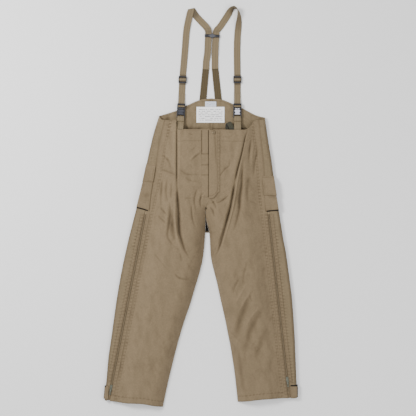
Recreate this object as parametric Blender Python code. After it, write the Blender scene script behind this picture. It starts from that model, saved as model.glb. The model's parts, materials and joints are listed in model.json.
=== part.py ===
"""Bunker pants laid flat on their back, with high-back suspenders.

The frame: +X is the wearer's left, +Y runs up the garment from hems to suspenders, +Z comes out of the
front of the garment. The floor is Z = 0 and the origin is under the middle of the whole outline.
Cloth is drawn as a 2 mm shell. A piece that rests on another keeps a gap of 0.4 mm to it.
"""

import math

import bmesh
import bpy
from mathutils import Matrix, Vector

# Driving dimensions, in metres
CLOTH = 0.002  # thickness of the garment's shell, with its seam allowances
TRIM = 0.0012  # thickness of a sewn-on strip or flap
GAP = 0.0004
WEB_WIDTH = 0.0254  # one-inch webbing
WEB = 0.0016
DOUBLE = 0.0014  # webbing where it doubles back through a buckle
ELASTIC = 0.0018

HEM, TOP = -0.780, 0.310  # nominal hem and front waist
SHELF = 0.018  # height of the flat shelf along each leg's outer side, where its zip runs
SHELF_WIDTH = 0.0205  # from the zip's middle to where the front panel starts to rise
FLY_HEIGHT = 0.036
FLY_X = 0.043
FLY_LOW, FLY_HIGH = 0.036, 0.306
ZIP_LOW, ZIP_HIGH = -0.745, -0.024
TEETH_HALF = 0.0026
ZIP_MOUTH = 0.006  # from a zip's middle to the edge of the cloth beside it

BUCKLE_BASE = 0.0052  # height of the buckles' undersides, above the back panel
BUCKLE_HALF = 0.0165
BAR_LOW, BAR_HIGH = 0.0120, 0.0150  # the plug's bar, above the buckle's mouth
BUCKLE_DEPTH = 0.0088
MOUTH_Y = 0.390  # where plug and socket meet
ADJUSTER_Y = 0.511
ADJUSTER_BASE = 0.0039

COLOURS = {
    "cloth": ((0.30, 0.235, 0.155), 0.9, 0.0),
    "webbing": ((0.29, 0.235, 0.16), 0.85, 0.0),
    "elastic": ((0.16, 0.12, 0.05), 0.85, 0.0),
    "plastic": ((0.015, 0.017, 0.022), 0.35, 0.0),
    "zip_metal": ((0.20, 0.22, 0.17), 0.4, 0.8),
    "label": ((0.85, 0.84, 0.82), 0.7, 0.0),
    "small_label": ((0.55, 0.58, 0.64), 0.7, 0.0),
    "green_webbing": ((0.09, 0.09, 0.045), 0.85, 0.0),
}


# Scene and materials


def clear_scene():
    for obj in list(bpy.data.objects):
        bpy.data.objects.remove(obj)


def material(name):
    found = bpy.data.materials.get(name)
    if found:
        return found
    colour, roughness, metallic = COLOURS[name]
    made = bpy.data.materials.new(name)
    made.use_nodes = True
    shader = made.node_tree.nodes["Principled BSDF"]
    shader.inputs["Base Color"].default_value = (*colour, 1)
    shader.inputs["Roughness"].default_value = roughness
    shader.inputs["Metallic"].default_value = metallic
    return made


def add(name, mesh, look=None):
    obj = bpy.data.objects.new(name, mesh)
    bpy.context.scene.collection.objects.link(obj)
    if look:
        mesh.materials.append(material(look))
    return obj


# Curves and numbers


def through(*knots):
    """A smooth function that passes through (position, value) knots and stays level beyond them."""
    knots = sorted(knots)
    last = len(knots) - 1

    def slope(i):
        (y0, v0), (y1, v1) = knots[max(i - 1, 0)], knots[min(i + 1, last)]
        return (v1 - v0) / (y1 - y0)

    def value(y):
        y = min(max(y, knots[0][0]), knots[-1][0])
        i = max(k for k in range(last) if knots[k][0] <= y)
        (y0, v0), (y1, v1) = knots[i], knots[i + 1]
        h = y1 - y0
        u = (y - y0) / h
        near = (1 + 2 * u) * (1 - u) ** 2 * v0 + u * (1 - u) ** 2 * h * slope(i)
        return near + u * u * (3 - 2 * u) * v1 + u * u * (u - 1) * h * slope(i + 1)

    return value


def ease(u):
    u = min(max(u, 0.0), 1.0)
    return u * u * (3 - 2 * u)


def panel_rows():
    """Nominal heights of the panels' rows of points, closer together near the waist."""
    return spread(HEM, TOP - 0.0545, 20) + [TOP - 0.030, TOP - 0.014, TOP]


def spread(low, high, count):
    return [low + (high - low) * i / (count - 1) for i in range(count)]


# Outlines. Each is a smooth curve through a few measured places.


class Leg:
    """One half of the garment: its edges as functions of Y, and the heights of its front panel."""

    def __init__(self, side, outer, inner, zip_low, zip_high, seam, hem, front_top, back_top):
        self.side = side
        self.outer = through(*outer)
        self.inner = through(*inner)
        self.zip_low, self.zip_high = Vector(zip_low), Vector(zip_high)
        self.upper_seam = through((ZIP_HIGH, self.zip_x(ZIP_HIGH)), *seam)
        self.hem = through(*hem)
        self.front_top = through(*front_top)
        self.back_top = through(*back_top)
        self.inward = 1.0 if side == "right" else -1.0

    def zip_x(self, y):
        a, b = self.zip_low, self.zip_high
        return a.x + (b.x - a.x) * (y - a.y) / (b.y - a.y)

    def seam(self, y):
        """The side seam: the zip's straight line, then a curve up to the waist."""
        return self.zip_x(y) if y < ZIP_HIGH else self.upper_seam(y)

    def mouth(self, y):
        """Half the gap in the side seam, which is open where the zip runs."""
        return ZIP_MOUTH + (0.0005 - ZIP_MOUTH) * ease((y - ZIP_HIGH) / 0.02)

    def front_height(self, x, y):
        """Height of the middle of the front panel's cloth. It is level beside the zip and beside the fly."""
        span = abs(self.inner(y) - self.seam(y))
        crown, edge = CROWN(y), INNER_EDGE(y)
        rise = ease((abs(x - self.seam(y)) - SHELF_WIDTH) / (0.34 * span))
        fly_level = 0.052 * ease(y / 0.036)
        to_edge = min(max((abs(self.inner(y) - x) - fly_level) / (0.25 * span), 0.0), 1.0)
        return SHELF + (crown - SHELF) * rise - (crown - edge) * (1 - to_edge) ** 2

    def reach(self, across, low_x, high_x, top):
        """The (x, y) of a point of a panel. across gives x from y, and top gives y at the waist from x."""
        y_nominal = across[1]
        y = y_nominal
        for _ in range(3):
            x = low_x(y) + (high_x(y) - low_x(y)) * across[0]
            below = ease(1 - (y_nominal - HEM) / 0.16)
            above = ease(1 - (TOP - y_nominal) / 0.16)
            y = y_nominal + (self.hem(x) - HEM) * below + (top(x) - TOP) * above
        return x, y


CROWN = through((-0.80, 0.034), (-0.50, 0.040), (-0.15, 0.045), (0.05, 0.041), (0.20, 0.037), (0.35, 0.036))
INNER_EDGE = through((-0.20, 0.0036), (-0.11, 0.0038), (-0.05, 0.012), (0.0, 0.028), (0.036, FLY_HEIGHT), (0.31, FLY_HEIGHT))
BACK_LIFT = through((0.30, 0.001), (0.345, 0.0014), (0.385, 0.0037), (0.44, 0.0037))

RIGHT_HUMP = ((-0.170, 0.364), (-0.096, 0.387), (-0.063, 0.403), (-0.002, 0.430), (0.0427, 0.4354))
LEFT_HUMP = ((0.0433, 0.4354), (0.088, 0.430), (0.129, 0.413), (0.165, 0.397), (0.222, 0.368), (0.260, 0.358))

RIGHT = Leg(
    "right",
    outer=(
        (-0.79, -0.3876), (-0.700, -0.3792), (-0.597, -0.370), (-0.530, -0.360), (-0.380, -0.339),
        (-0.258, -0.318), (-0.130, -0.290), (-0.004, -0.258), (0.112, -0.230), (0.198, -0.212),
        (0.292, -0.190), (0.366, -0.167),
    ),
    inner=(
        (-0.803, -0.152), (-0.718, -0.134), (-0.625, -0.112), (-0.547, -0.092), (-0.465, -0.068),
        (-0.395, -0.044), (-0.319, -0.021), (-0.261, -0.004), (-0.202, 0.009), (-0.126, 0.0165),
        (-0.050, 0.019), (-0.005, 0.0205), (0.036, 0.037), (0.10, 0.037), (0.31, 0.037),
    ),
    zip_low=(-0.363, -0.745),
    zip_high=(-0.220, -0.024),
    seam=((0.06, -0.201), (0.15, -0.183), (0.25, -0.168), (0.36, -0.143)),
    hem=((-0.387, -0.775), (-0.302, -0.784), (-0.230, -0.787), (-0.152, -0.803)),
    front_top=((-0.170, 0.352), (-0.108, 0.345), (-0.086, 0.311), (-0.060, 0.309), (0.037, 0.309)),
    back_top=RIGHT_HUMP,
)
LEFT = Leg(
    "left",
    outer=(
        (-0.767, 0.3857), (-0.704, 0.3847), (-0.611, 0.381), (-0.499, 0.376), (-0.373, 0.367),
        (-0.291, 0.357), (-0.183, 0.342), (-0.130, 0.332), (-0.011, 0.313), (0.089, 0.297),
        (0.188, 0.284), (0.261, 0.272), (0.357, 0.258),
    ),
    inner=(
        (-0.783, 0.149), (-0.667, 0.136), (-0.569, 0.121), (-0.513, 0.110), (-0.443, 0.096),
        (-0.373, 0.080), (-0.304, 0.065), (-0.253, 0.052), (-0.202, 0.041), (-0.100, 0.034),
        (-0.050, 0.027), (-0.005, 0.0222), (0.036, 0.049), (0.10, 0.049), (0.31, 0.049),
    ),
    zip_low=(0.3525, -0.745),
    zip_high=(0.2715, -0.024),
    seam=((0.06, 0.262), (0.20, 0.250), (0.36, 0.232)),
    hem=((0.149, -0.783), (0.194, -0.775), (0.234, -0.770), (0.282, -0.767), (0.384, -0.766)),
    front_top=((0.049, 0.309), (0.175, 0.308), (0.195, 0.318), (0.216, 0.344), (0.262, 0.350)),
    back_top=LEFT_HUMP,
)
LEGS = (RIGHT, LEFT)


# Making shells, ribbons and blocks


def sheet(name, rows, thickness, look):
    """A shell of even thickness whose middle passes through rows of points."""
    mesh = bpy.data.meshes.new(name)
    width = len(rows[0])
    points = [point for row in rows for point in row]
    faces = [
        (i * width + j, i * width + j + 1, (i + 1) * width + j + 1, (i + 1) * width + j)
        for i in range(len(rows) - 1)
        for j in range(width - 1)
    ]
    mesh.from_pydata(points, [], faces)
    obj = add(name, mesh, look)
    thick = obj.modifiers.new("thickness", "SOLIDIFY")
    thick.thickness = thickness
    thick.offset = 0
    return obj


def smooth_path(points, step):
    """Points about one step apart on a smooth curve through tuples of any length."""
    found = [points[0]]
    for i in range(len(points) - 1):
        before, a = points[max(i - 1, 0)], points[i]
        b, after = points[i + 1], points[min(i + 2, len(points) - 1)]
        count = max(1, round(math.dist(a[:3], b[:3]) / step))
        for k in range(1, count + 1):
            u = k / count
            found.append(
                tuple(
                    0.5 * (2 * q + (r - p) * u + (2 * p - 5 * q + 4 * r - s) * u**2 + (3 * q - p - 3 * r + s) * u**3)
                    for p, q, r, s in zip(before, a, b, after)
                )
            )
    return found


def ribbon_rows(stations, half_width):
    """Rows of three points across a flat strap. A station is (x, y, z, roll in degrees)."""
    rows = []
    for i, (x, y, z, roll) in enumerate(stations):
        before, after = stations[max(i - 1, 0)], stations[min(i + 1, len(stations) - 1)]
        along = Vector((after[0] - before[0], after[1] - before[1], 0)).normalized()
        side = Vector((along.y, -along.x, 0))
        angle = math.radians(roll)
        half = (side * math.cos(angle) + Vector((0, 0, math.sin(angle)))) * half_width
        centre = Vector((x, y, z))
        rows.append([centre - half, centre, centre + half])
    return rows


def block(name, low, high, look=None, bevel=0.0):
    mesh = bpy.data.meshes.new(name)
    shape = bmesh.new()
    bmesh.ops.create_cube(shape, size=1)
    size = [h - l for l, h in zip(low, high)]
    middle = [(h + l) / 2 for l, h in zip(low, high)]
    bmesh.ops.scale(shape, vec=size, verts=shape.verts)
    bmesh.ops.translate(shape, vec=middle, verts=shape.verts)
    if bevel:
        bmesh.ops.bevel(shape, geom=shape.edges[:], offset=bevel, segments=2, profile=0.5, affect="EDGES")
    shape.to_mesh(mesh)
    shape.free()
    return add(name, mesh, look)


def prism(name, outline, low, high, look=None):
    """A straight block with the outline's (x, y) corners, given counter-clockwise seen from above."""
    mesh = bpy.data.meshes.new(name)
    count = len(outline)
    points = [(x, y, z) for z in (low, high) for x, y in outline]
    sides = [(i, (i + 1) % count, (i + 1) % count + count, i + count) for i in range(count)]
    faces = [tuple(reversed(range(count))), tuple(range(count, 2 * count)), *sides]
    mesh.from_pydata(points, [], faces)
    return add(name, mesh, look)


def combine(target, operation, *tools):
    """Cuts the tools from the target or joins them to it. The tools stay as hidden guides."""
    for tool in tools:
        tool.parent = target
        tool.hide_render = True
        tool.display_type = "WIRE"
        change = target.modifiers.new(tool.name, "BOOLEAN")
        change.operation = operation
        change.object = tool
        change.solver = "EXACT"


def place(obj, where, heading=0.0):
    """Moves a part made at the origin, its own +Y turned by heading from the garment's +Y."""
    obj.location = where
    obj.rotation_euler = (0, 0, heading)
    return obj


# The garment's shell


def front_panel(leg):
    """From the side seam over the crown to the centre front, and below the crotch to the inseam."""
    rows = [front_row(leg, y_nominal, spread(0, 1, 10)) for y_nominal in panel_rows()]
    sheet(f"{leg.side}_front_panel", rows, CLOTH, "cloth")


def front_row(leg, y_nominal, shares, drop=0.0):
    """A row of points across the front panel: the cloth edge beside the zip, then shares of the way inward."""
    edge = lambda y: leg.seam(y) + leg.inward * leg.mouth(y)
    shelf_end = lambda y: leg.seam(y) + leg.inward * SHELF_WIDTH
    flat = [leg.reach((0, y_nominal), edge, edge, leg.front_top)] if not drop else []
    points = flat + [leg.reach((s, y_nominal), shelf_end, leg.inner, leg.front_top) for s in shares]
    return [(x, y, leg.front_height(x, y) - drop) for x, y in points]


def back_panel(leg):
    """Flat on the floor from the inseam to the outer edge, then folded up and over to the side seam."""
    bend = ((0.0100, SHELF - 0.0004), (0.0036, 0.0146), (0.0012, 0.0090), (0.0036, 0.0036), (0.0100, 0.0010))
    rows = []
    for y_nominal in panel_rows():
        row = []
        edge = lambda y: leg.seam(y) - leg.inward * leg.mouth(y)
        for s in spread(0, 1, 3)[:-1]:
            shelf_end = lambda y: leg.outer(y) + leg.inward * bend[0][0]
            x, y = leg.reach((s, y_nominal), edge, shelf_end, leg.front_top)
            row.append((x, y, SHELF))
        for i, (inset, z) in enumerate(bend):
            fold = lambda y: leg.outer(y) + leg.inward * inset
            top = leg.front_top if i < 2 else leg.back_top
            x, y = leg.reach((0, y_nominal), fold, fold, top)
            row.append((x, y, z + (BACK_LIFT(y) - 0.001 if i > 2 else 0)))
        for s in spread(0, 1, 7)[1:]:
            floor_start = lambda y: leg.outer(y) + leg.inward * bend[-1][0]
            x, y = leg.reach((s, y_nominal), floor_start, lambda y: back_middle(leg, y), leg.back_top)
            row.append((x, y, BACK_LIFT(y)))
        rows.append(row)
    sheet(f"{leg.side}_back_panel", rows, CLOTH, "cloth")


def back_middle(leg, y):
    """The back panel's inner edge: the inseam, then the centre back seam."""
    seam = 0.0427 if leg.side == "right" else 0.0433
    return leg.inner(y) + (seam - leg.inner(y)) * ease((y + 0.005) / 0.06)


def crotch_gusset():
    """The wedge of the back that closes the crotch between the two inseams."""
    rows = []
    for y in spread(-0.104, -0.036, 5):
        rows.append([(RIGHT.inner(y) + 0.0016, y, 0.001), (LEFT.inner(y) - 0.0016, y, 0.001)])
    sheet("crotch_gusset", rows, CLOTH, "cloth")


def waist_facing(leg):
    """The strip sewn inside the front waist."""
    shares = spread(0, 1, 10)[:-1]
    drop = CLOTH / 2 + GAP + 0.0008
    rows = [front_row(leg, TOP - depth, shares, drop) for depth in (0.046, 0.030, 0.014, 0.002)]
    sheet(f"{leg.side}_waist_facing", rows, 0.001, "cloth")


# Fly


def fly():
    underlap_rows, flap_rows = [], []
    for y in spread(FLY_LOW + 0.004, FLY_HIGH - 0.001, 9):
        on_panel = CLOTH / 2 + GAP + TRIM / 2
        underlap_rows.append([(x, y, RIGHT.front_height(x, y) + on_panel) for x in spread(0.003, 0.0362, 5)])
        hinge_side = [(x, y, LEFT.front_height(x, y) + on_panel) for x in (0.0765, 0.068)]
        bulge = [(0.0600, 0.0409), (0.0500, 0.0415), (0.0430, 0.0416), (0.0370, 0.0415), (0.0315, 0.0410)]
        flap_rows.append(hinge_side + [(x, y, z) for x, z in bulge])
    sheet("fly_underlap", underlap_rows, TRIM, "cloth")
    sheet("fly_flap", flap_rows, TRIM, "cloth")
    zip_chain("fly", Vector((FLY_X, FLY_LOW, 0)), Vector((FLY_X, FLY_HIGH - 0.004, 0)), FLY_HEIGHT)
    zip_slider("fly", Vector((FLY_X, 0.286, FLY_HEIGHT)), 0.0, pull_length=0.020, slim=True)
    cap = block("fly_snap_cap", (-0.006, -0.006, 0), (0.006, 0.006, 0.0022), "plastic", 0.0009)
    place(cap, (0.0520, 0.296, 0.0425))


# Zips


def zip_chain(name, low, high, panel_height):
    """The tape under the cloth's two edges, and the closed teeth that stand up between them."""
    along = high - low
    heading = math.atan2(-along.x, along.y)
    length = along.length
    tape_top = panel_height - CLOTH / 2 - 0.0006
    tape = block(f"{name}_zip_tape", (-0.007, 0, 0), (0.007, length, 0.001), "cloth")
    place(tape, (low.x, low.y, tape_top - 0.001), heading)
    teeth = block(f"{name}_zip_teeth", (-TEETH_HALF, 0.004, 0), (TEETH_HALF, length - 0.004, 0.0024), "zip_metal", 0.0006)
    place(teeth, (low.x, low.y, tape_top + 0.0003), heading)


def zip_slider(name, where, heading, pull_length, slim=False):
    """A slider that straddles the teeth, its origin on the zip's line, and a pull hinged at its lower end."""
    plate_low, plate_high = 0.0015, (0.0024 if slim else 0.0028)
    flange_low = -0.0008
    body = block(f"{name}_zip_slider", (-0.005, -0.010, plate_low), (0.005, 0.010, plate_high), "zip_metal", 0.0003)
    flanges = [
        block(f"{name}_flange_{i}", (sign * 0.0042 - 0.0007, -0.009, flange_low), (sign * 0.0042 + 0.0007, 0.009, 0.0020))
        for i, sign in enumerate((-1, 1))
    ]
    combine(body, "UNION", *flanges)
    place(body, where, heading)
    pull_thick = 0.0010 if slim else 0.0014
    pull_low = plate_high + GAP
    pivot = pull_low + pull_thick / 2
    half = pull_thick / 2
    pull = block(f"{name}_zip_pull", (-0.0035, -pull_length, -half), (0.0035, 0.0008, half), "zip_metal", 0.0003)
    hole = block(f"{name}_pull_hole", (-0.0019, 0.004 - pull_length, -0.01), (0.0019, 0.010 - pull_length, 0.01))
    combine(pull, "DIFFERENCE", hole)
    hinge = Vector(where) + Matrix.Rotation(heading, 3, "Z") @ Vector((0, -0.005, pivot))
    place(pull, hinge, heading)


def leg_zip(leg, slider_y):
    low = Vector((leg.zip_x(ZIP_LOW), ZIP_LOW, 0))
    high = Vector((leg.zip_x(ZIP_HIGH), ZIP_HIGH, 0))
    zip_chain(leg.side, low, high, SHELF)
    along = high - low
    zip_slider(leg.side, Vector((leg.zip_x(slider_y), slider_y, SHELF)), math.atan2(-along.x, along.y), pull_length=0.024)


def zip_welts(leg):
    """The stitched strips on both sides of the zip."""
    for name, inward, low_y in (("front", leg.inward, -0.752), ("back", -leg.inward, -0.700)):
        rows = []
        for y in spread(low_y, ZIP_HIGH - 0.004, 9):
            near = leg.zip_x(y) + inward * 0.0062
            far = leg.zip_x(y) + inward * 0.018
            if inward != leg.inward:
                limit = leg.outer(y) + leg.inward * 0.0105
                far = min(far, limit) if leg.inward < 0 else max(far, limit)
            rows.append([(near + (far - near) * u, y, SHELF + CLOTH / 2 + GAP + TRIM / 2) for u in (0, 0.5, 1)])
        sheet(f"{leg.side}_zip_welt_{name}", rows, TRIM, "cloth")


# Pockets and cuff tabs


def pocket(leg, bottom, top, outer_inset, inner_low, inner_high, flap_low, flap_top):
    """A bellows pocket, open at its top end, under a flap that is sewn on above it."""
    floor = SHELF + CLOTH / 2 + GAP
    height = 0.0076
    wall = 0.0014
    sign = leg.inward

    def outline(low_y, high_y, shrink):
        inner = lambda y: inner_low + (inner_high - inner_low) * (y - bottom) / (top - bottom)
        corners = [
            (leg.outer(low_y) + sign * (outer_inset + shrink), low_y),
            (inner(low_y) - sign * shrink, low_y),
            (inner(high_y) - sign * shrink, high_y),
            (leg.outer(high_y) + sign * (outer_inset + shrink), high_y),
        ]
        return corners if sign > 0 else corners[::-1]

    bag = prism(f"{leg.side}_pocket", outline(bottom, top, 0), floor, floor + height, "cloth")
    inside = prism(f"{leg.side}_pocket_space", outline(bottom + wall, top + 0.01, wall), floor - 0.005, floor + height - wall)
    combine(bag, "DIFFERENCE", inside)
    over = floor + height + GAP + TRIM / 2
    on_cloth = floor + TRIM / 2
    profile = (
        (flap_top, on_cloth), (top + 0.0125, on_cloth), (top + 0.0050, over - 0.0006), (top + 0.0012, over), (flap_low, over),
    )
    rows = []
    for y, z in profile:
        inner = inner_low + (inner_high - inner_low) * (y - bottom) / (top - bottom) + sign * 0.002
        outer = leg.outer(y) + sign * (outer_inset - 0.002)
        rows.append([(outer + (inner - outer) * u, y, z) for u in (0, 0.5, 1)])
    sheet(f"{leg.side}_pocket_flap", rows, TRIM, "cloth")


def cuff_tab(leg, low_y, high_y, tip_x):
    """The tab that wraps the hem's outer edge. It is sewn low on the side, and its tip lies on the front."""
    over = SHELF + CLOTH / 2 + GAP + DOUBLE / 2
    turn = ((0.0090, over + 0.0001), (-0.0010, 0.0176), (-0.0045, 0.0098))
    rows = []
    for y in spread(low_y, high_y, 3):
        outer = leg.outer(y)
        start = outer + leg.inward * turn[0][0]
        row = [(tip_x + (start - tip_x) * u, y, over) for u in (0, 0.5)]
        row += [(outer + leg.inward * inset, y, z) for inset, z in turn]
        rows.append(row)
    sheet(f"{leg.side}_cuff_tab", rows, DOUBLE, "cloth")


# Suspenders


def elastic(side, low, high):
    """The elastic end of a back strap. Its lower end is sewn under the back panel's top edge."""
    stations = smooth_path([(*low, 0.0011, 0), (*high, 0.0011, 0)], 0.04)
    sheet(f"{side}_elastic_strap", ribbon_rows(stations, WEB_WIDTH / 2), ELASTIC, "elastic")


def right_webbing():
    """Up the back through the yoke, folded flat over the shoulder, and down the front."""
    flat, raised, high = 0.0010, 0.0033, 0.0032
    back = [
        (0.0208, 0.5562, flat, 0), (0.0225, 0.585, 0.0020, 0), (0.0274, 0.620, raised, 0),
        (0.0294, 0.660, raised, 0), (0.0314, 0.700, raised, 0), (0.0300, 0.710, 0.0030, 0),
        (0.0210, 0.724, 0.0024, 0), (0.0060, 0.740, 0.0016, 0),
        (-0.0175, 0.766, flat, 0), (-0.0290, 0.7810, flat, 0),
    ]
    front = [
        (-0.0400, 0.7780, high, 0), (-0.0470, 0.750, high, 0), (-0.0560, 0.705, 0.0022, 0),
        (-0.0640, 0.620, flat, 0), (-0.0725, 0.520, flat, 0), (-0.0768, 0.4400, flat, 0),
    ]
    crease, reach = Vector((0.976, 0.219, 0)), 0.0136
    middle = Vector((-0.0368, 0.7930, 0))
    beyond = Vector((-0.219, 0.976, 0)) * 0.0009
    rows = ribbon_rows(smooth_path(back, 0.020), WEB_WIDTH / 2)
    for lift, out in ((flat, 0), (0.0021, 1), (high, 0)):
        centre = middle + beyond * out + Vector((0, 0, lift))
        rows.append([centre - crease * reach, centre, centre + crease * reach])
    # The fold brings the strap's back face to the front, so up to it the rows run the other way across.
    rows = [row[::-1] for row in rows]
    rows += ribbon_rows(smooth_path(front, 0.024), WEB_WIDTH / 2)
    sheet("right_shoulder_webbing", rows, WEB, "webbing")


def left_webbing():
    """The same strap on the other side, which stands on its edge where it turns over the shoulder."""
    flat, raised = 0.0010, 0.0033

    def station(x, y, roll):
        turn = math.sin(math.radians(roll))
        return (x, y, flat + 0.0004 * turn + WEB_WIDTH / 2 * turn, roll)

    path = [
        (0.0574, 0.5562, flat, 180), (0.0572, 0.585, 0.0020, 180), (0.0578, 0.620, raised, 180),
        (0.0598, 0.660, raised, 180), (0.0618, 0.700, raised, 180), (0.0640, 0.7090, 0.0030, 180),
        station(0.0790, 0.726, 180), station(0.1060, 0.766, 172), station(0.1200, 0.788, 140),
        station(0.1330, 0.7986, 108), station(0.1440, 0.7961, 90), station(0.1520, 0.782, 70),
        station(0.1545, 0.757, 48), station(0.1515, 0.725, 16), (0.1475, 0.680, flat, 0),
        (0.1462, 0.620, flat, 0),
        (0.1474, 0.511, flat, 0), (0.1472, 0.4400, flat, 0),
    ]
    stations = [
        (x, y, max(z, flat + (WEB_WIDTH / 2 + 0.0004) * abs(math.sin(math.radians(roll)))), roll)
        for x, y, z, roll in smooth_path(path, 0.020)
    ]
    sheet("left_shoulder_webbing", ribbon_rows(stations, WEB_WIDTH / 2), WEB, "webbing")


def strap_line(side):
    """(x, heading) of a front strap's lower end: x as a function of y, and the angle that it leans by."""
    if side == "right":
        lean = math.radians(-3.0)
        return (lambda y: -0.0790 - math.tan(lean) * (y - MOUTH_Y)), lean
    lean = math.radians(-0.1)
    return (lambda y: 0.1470 - math.tan(lean) * (y - MOUTH_Y)), lean


def along_strap(side, profile, half_width=WEB_WIDTH / 2):
    """Rows for a piece of webbing that follows (y, z) pairs on a front strap's line, where z may be z(x, y)."""
    line, lean = strap_line(side)
    across = Vector((math.cos(lean), math.sin(lean), 0)) * half_width
    rows = []
    for y, z in profile:
        centre = Vector((line(y), y, 0))
        ends = [centre - across, centre + across]
        rows.append([(end.x, end.y, z(end.x, end.y) if callable(z) else z) for end in ends])
    return rows


def adjuster(side):
    """The three-bar slide and the webbing that turns over its middle bar."""
    line, lean = strap_line(side)
    frame = block(f"{side}_adjuster", (-0.0165, -0.0140, 0), (0.0165, 0.0140, 0.0032), "plastic", 0.0009)
    slots = [
        block(f"{side}_adjuster_slot_{i}", (-0.0134, low, -0.01), (0.0134, low + 0.0065, 0.01))
        for i, low in enumerate((-0.0087, 0.0022))
    ]
    combine(frame, "DIFFERENCE", *slots)
    place(frame, (line(ADJUSTER_Y), ADJUSTER_Y, ADJUSTER_BASE), lean)
    under, over = 0.0029, 0.0082
    rise = ((0.0200, under), (0.0095, under), (0.0063, 0.0037), (0.0042, 0.0072), (0.0022, over))
    profile = [(ADJUSTER_Y - d, z) for d, z in rise] + [(ADJUSTER_Y + d, z) for d, z in reversed(rise)]
    sheet(f"{side}_adjuster_loop", along_strap(side, profile), DOUBLE, "webbing")


def buckle(side):
    """A side-release buckle: a socket on the garment's anchor, and a plug with two prongs on the strap."""
    line, lean = strap_line(side)
    where = (line(MOUTH_Y), MOUTH_Y, BUCKLE_BASE)
    half, depth, slot = BUCKLE_HALF, BUCKLE_DEPTH, 0.0134

    socket = block(f"{side}_buckle_socket", (-half, -0.0320, 0), (half, -0.0004, depth), "plastic", 0.0012)
    cuts = [
        block(f"{side}_socket_slot", (-slot, -0.0275, -0.01), (slot, -0.0215, 0.02)),
        block(f"{side}_socket_under", (-slot, -0.0400, -0.01), (slot, -0.0270, 0.0022)),
        block(f"{side}_socket_over", (-slot, -0.0400, 0.0066), (slot, -0.0270, 0.02)),
        block(f"{side}_socket_cavity", (-0.0130, -0.0170, 0.0020), (0.0130, 0.0050, 0.0068)),
        block(f"{side}_socket_sides", (-0.0200, -0.0138, 0.0026), (0.0200, 0.0050, 0.0062)),
    ]
    combine(socket, "DIFFERENCE", *cuts)
    place(socket, where, lean)

    plug = block(f"{side}_buckle_plug", (-half, 0.0004, 0), (half, 0.0240, depth), "plastic", 0.0012)
    combine(plug, "UNION", block(f"{side}_plug_guide", (-0.0020, -0.0150, 0.0030), (0.0020, 0.0040, 0.0058)))
    cuts = [
        block(f"{side}_plug_slot_low", (-slot, BAR_LOW - 0.0035, -0.01), (slot, BAR_LOW, 0.02)),
        block(f"{side}_plug_slot_high", (-slot, BAR_HIGH, -0.01), (slot, BAR_HIGH + 0.0035, 0.02)),
        block(f"{side}_plug_under", (-slot, BAR_HIGH + 0.0010, -0.01), (slot, 0.0300, 0.0022)),
        block(f"{side}_plug_over", (-slot, BAR_LOW - 0.0010, 0.0066), (slot, BAR_HIGH + 0.0010, 0.02)),
    ]
    combine(plug, "DIFFERENCE", *cuts)
    place(plug, where, lean)

    turn = Matrix.Rotation(lean, 3, "Z")
    for name, sign in (("outer", -1 if side == "right" else 1), ("inner", 1 if side == "right" else -1)):
        arm = [(-0.0016, -0.0142), (0.0022, -0.0142), (0.0062, -0.0105), (0.0062, -0.0040), (0.0018, -0.0046), (0.0016, -0.0005), (-0.0016, -0.0005)]
        outline = [(sign * x, y) for x, y in arm]
        prong = prism(f"{side}_prong_{name}", outline if sign > 0 else outline[::-1], 0.0030, 0.0058, "plastic")
        place(prong, Vector(where) + turn @ Vector((sign * 0.0096, 0, 0)), lean)


def buckle_webbing(side):
    """Webbing under the plug's end and over its bar, and the anchor round the socket's bar and into the waist."""
    under, over = BUCKLE_BASE + 0.0012, BUCKLE_BASE + 0.0076
    low, high = MOUTH_Y + BAR_LOW, MOUTH_Y + BAR_HIGH
    plug_loop = [
        (0.4560, 0.0029), (0.4390, 0.0029), (0.4270, 0.0046), (0.4150, under), (high + 0.0034, under),
        (high + 0.0018, under + 0.0014), (high + 0.0018, over - 0.0014), (high + 0.0002, over),
        (low - 0.0002, over), (low - 0.0018, over - 0.0014), (low - 0.0018, under + 0.0018),
    ]
    sheet(f"{side}_plug_loop", along_strap(side, plug_loop), DOUBLE, "webbing")

    bar = MOUTH_Y - 0.0275
    leg = RIGHT if side == "right" else LEFT
    inside = lambda x, y: leg.front_height(x, y) - 0.0045
    anchor = [
        (0.2680, inside), (0.3080, inside), (0.3420, 0.0130), (0.3560, under + 0.0002), (bar - 0.0002, under),
        (bar + 0.0018, under + 0.0014), (bar + 0.0018, over - 0.0014), (bar - 0.0002, over), (0.3560, over),
        (0.3440, 0.0160),
    ]
    sheet(f"{side}_anchor_webbing", along_strap(side, anchor), DOUBLE, "webbing")


def yoke_slider():
    """The keeper that holds the two back straps side by side."""
    lean = math.atan2(-0.05, 1)
    half, post = 0.0302, 0.0016
    body = block("yoke_slider", (-half, -0.0058, 0.0002), (half, 0.0058, 0.0070), "plastic", 0.0010)
    diamond = prism("yoke_diamond", [(-0.0185, 0), (0, -0.0098), (0.0185, 0), (0, 0.0098)], 0.0050, 0.0076)
    combine(body, "UNION", diamond)
    slots = [
        block(f"yoke_slot_{i}", (low, -0.02, 0.0021), (low + half - 2 * post - 0.0002, 0.02, 0.0045))
        for i, low in enumerate((-half + post + 0.0002, post))
    ]
    combine(body, "DIFFERENCE", *slots)
    place(body, (0.0461, 0.6866, 0), lean)


# Labels and the hanging loop


def label(name, low, high, look):
    rows = []
    for y in spread(low[1], high[1], 6):
        rows.append([(x, y, BACK_LIFT(y) + CLOTH / 2 + GAP + 0.0004) for x in (low[0], high[0])])
    sheet(name, rows, 0.0006, look)


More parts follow.
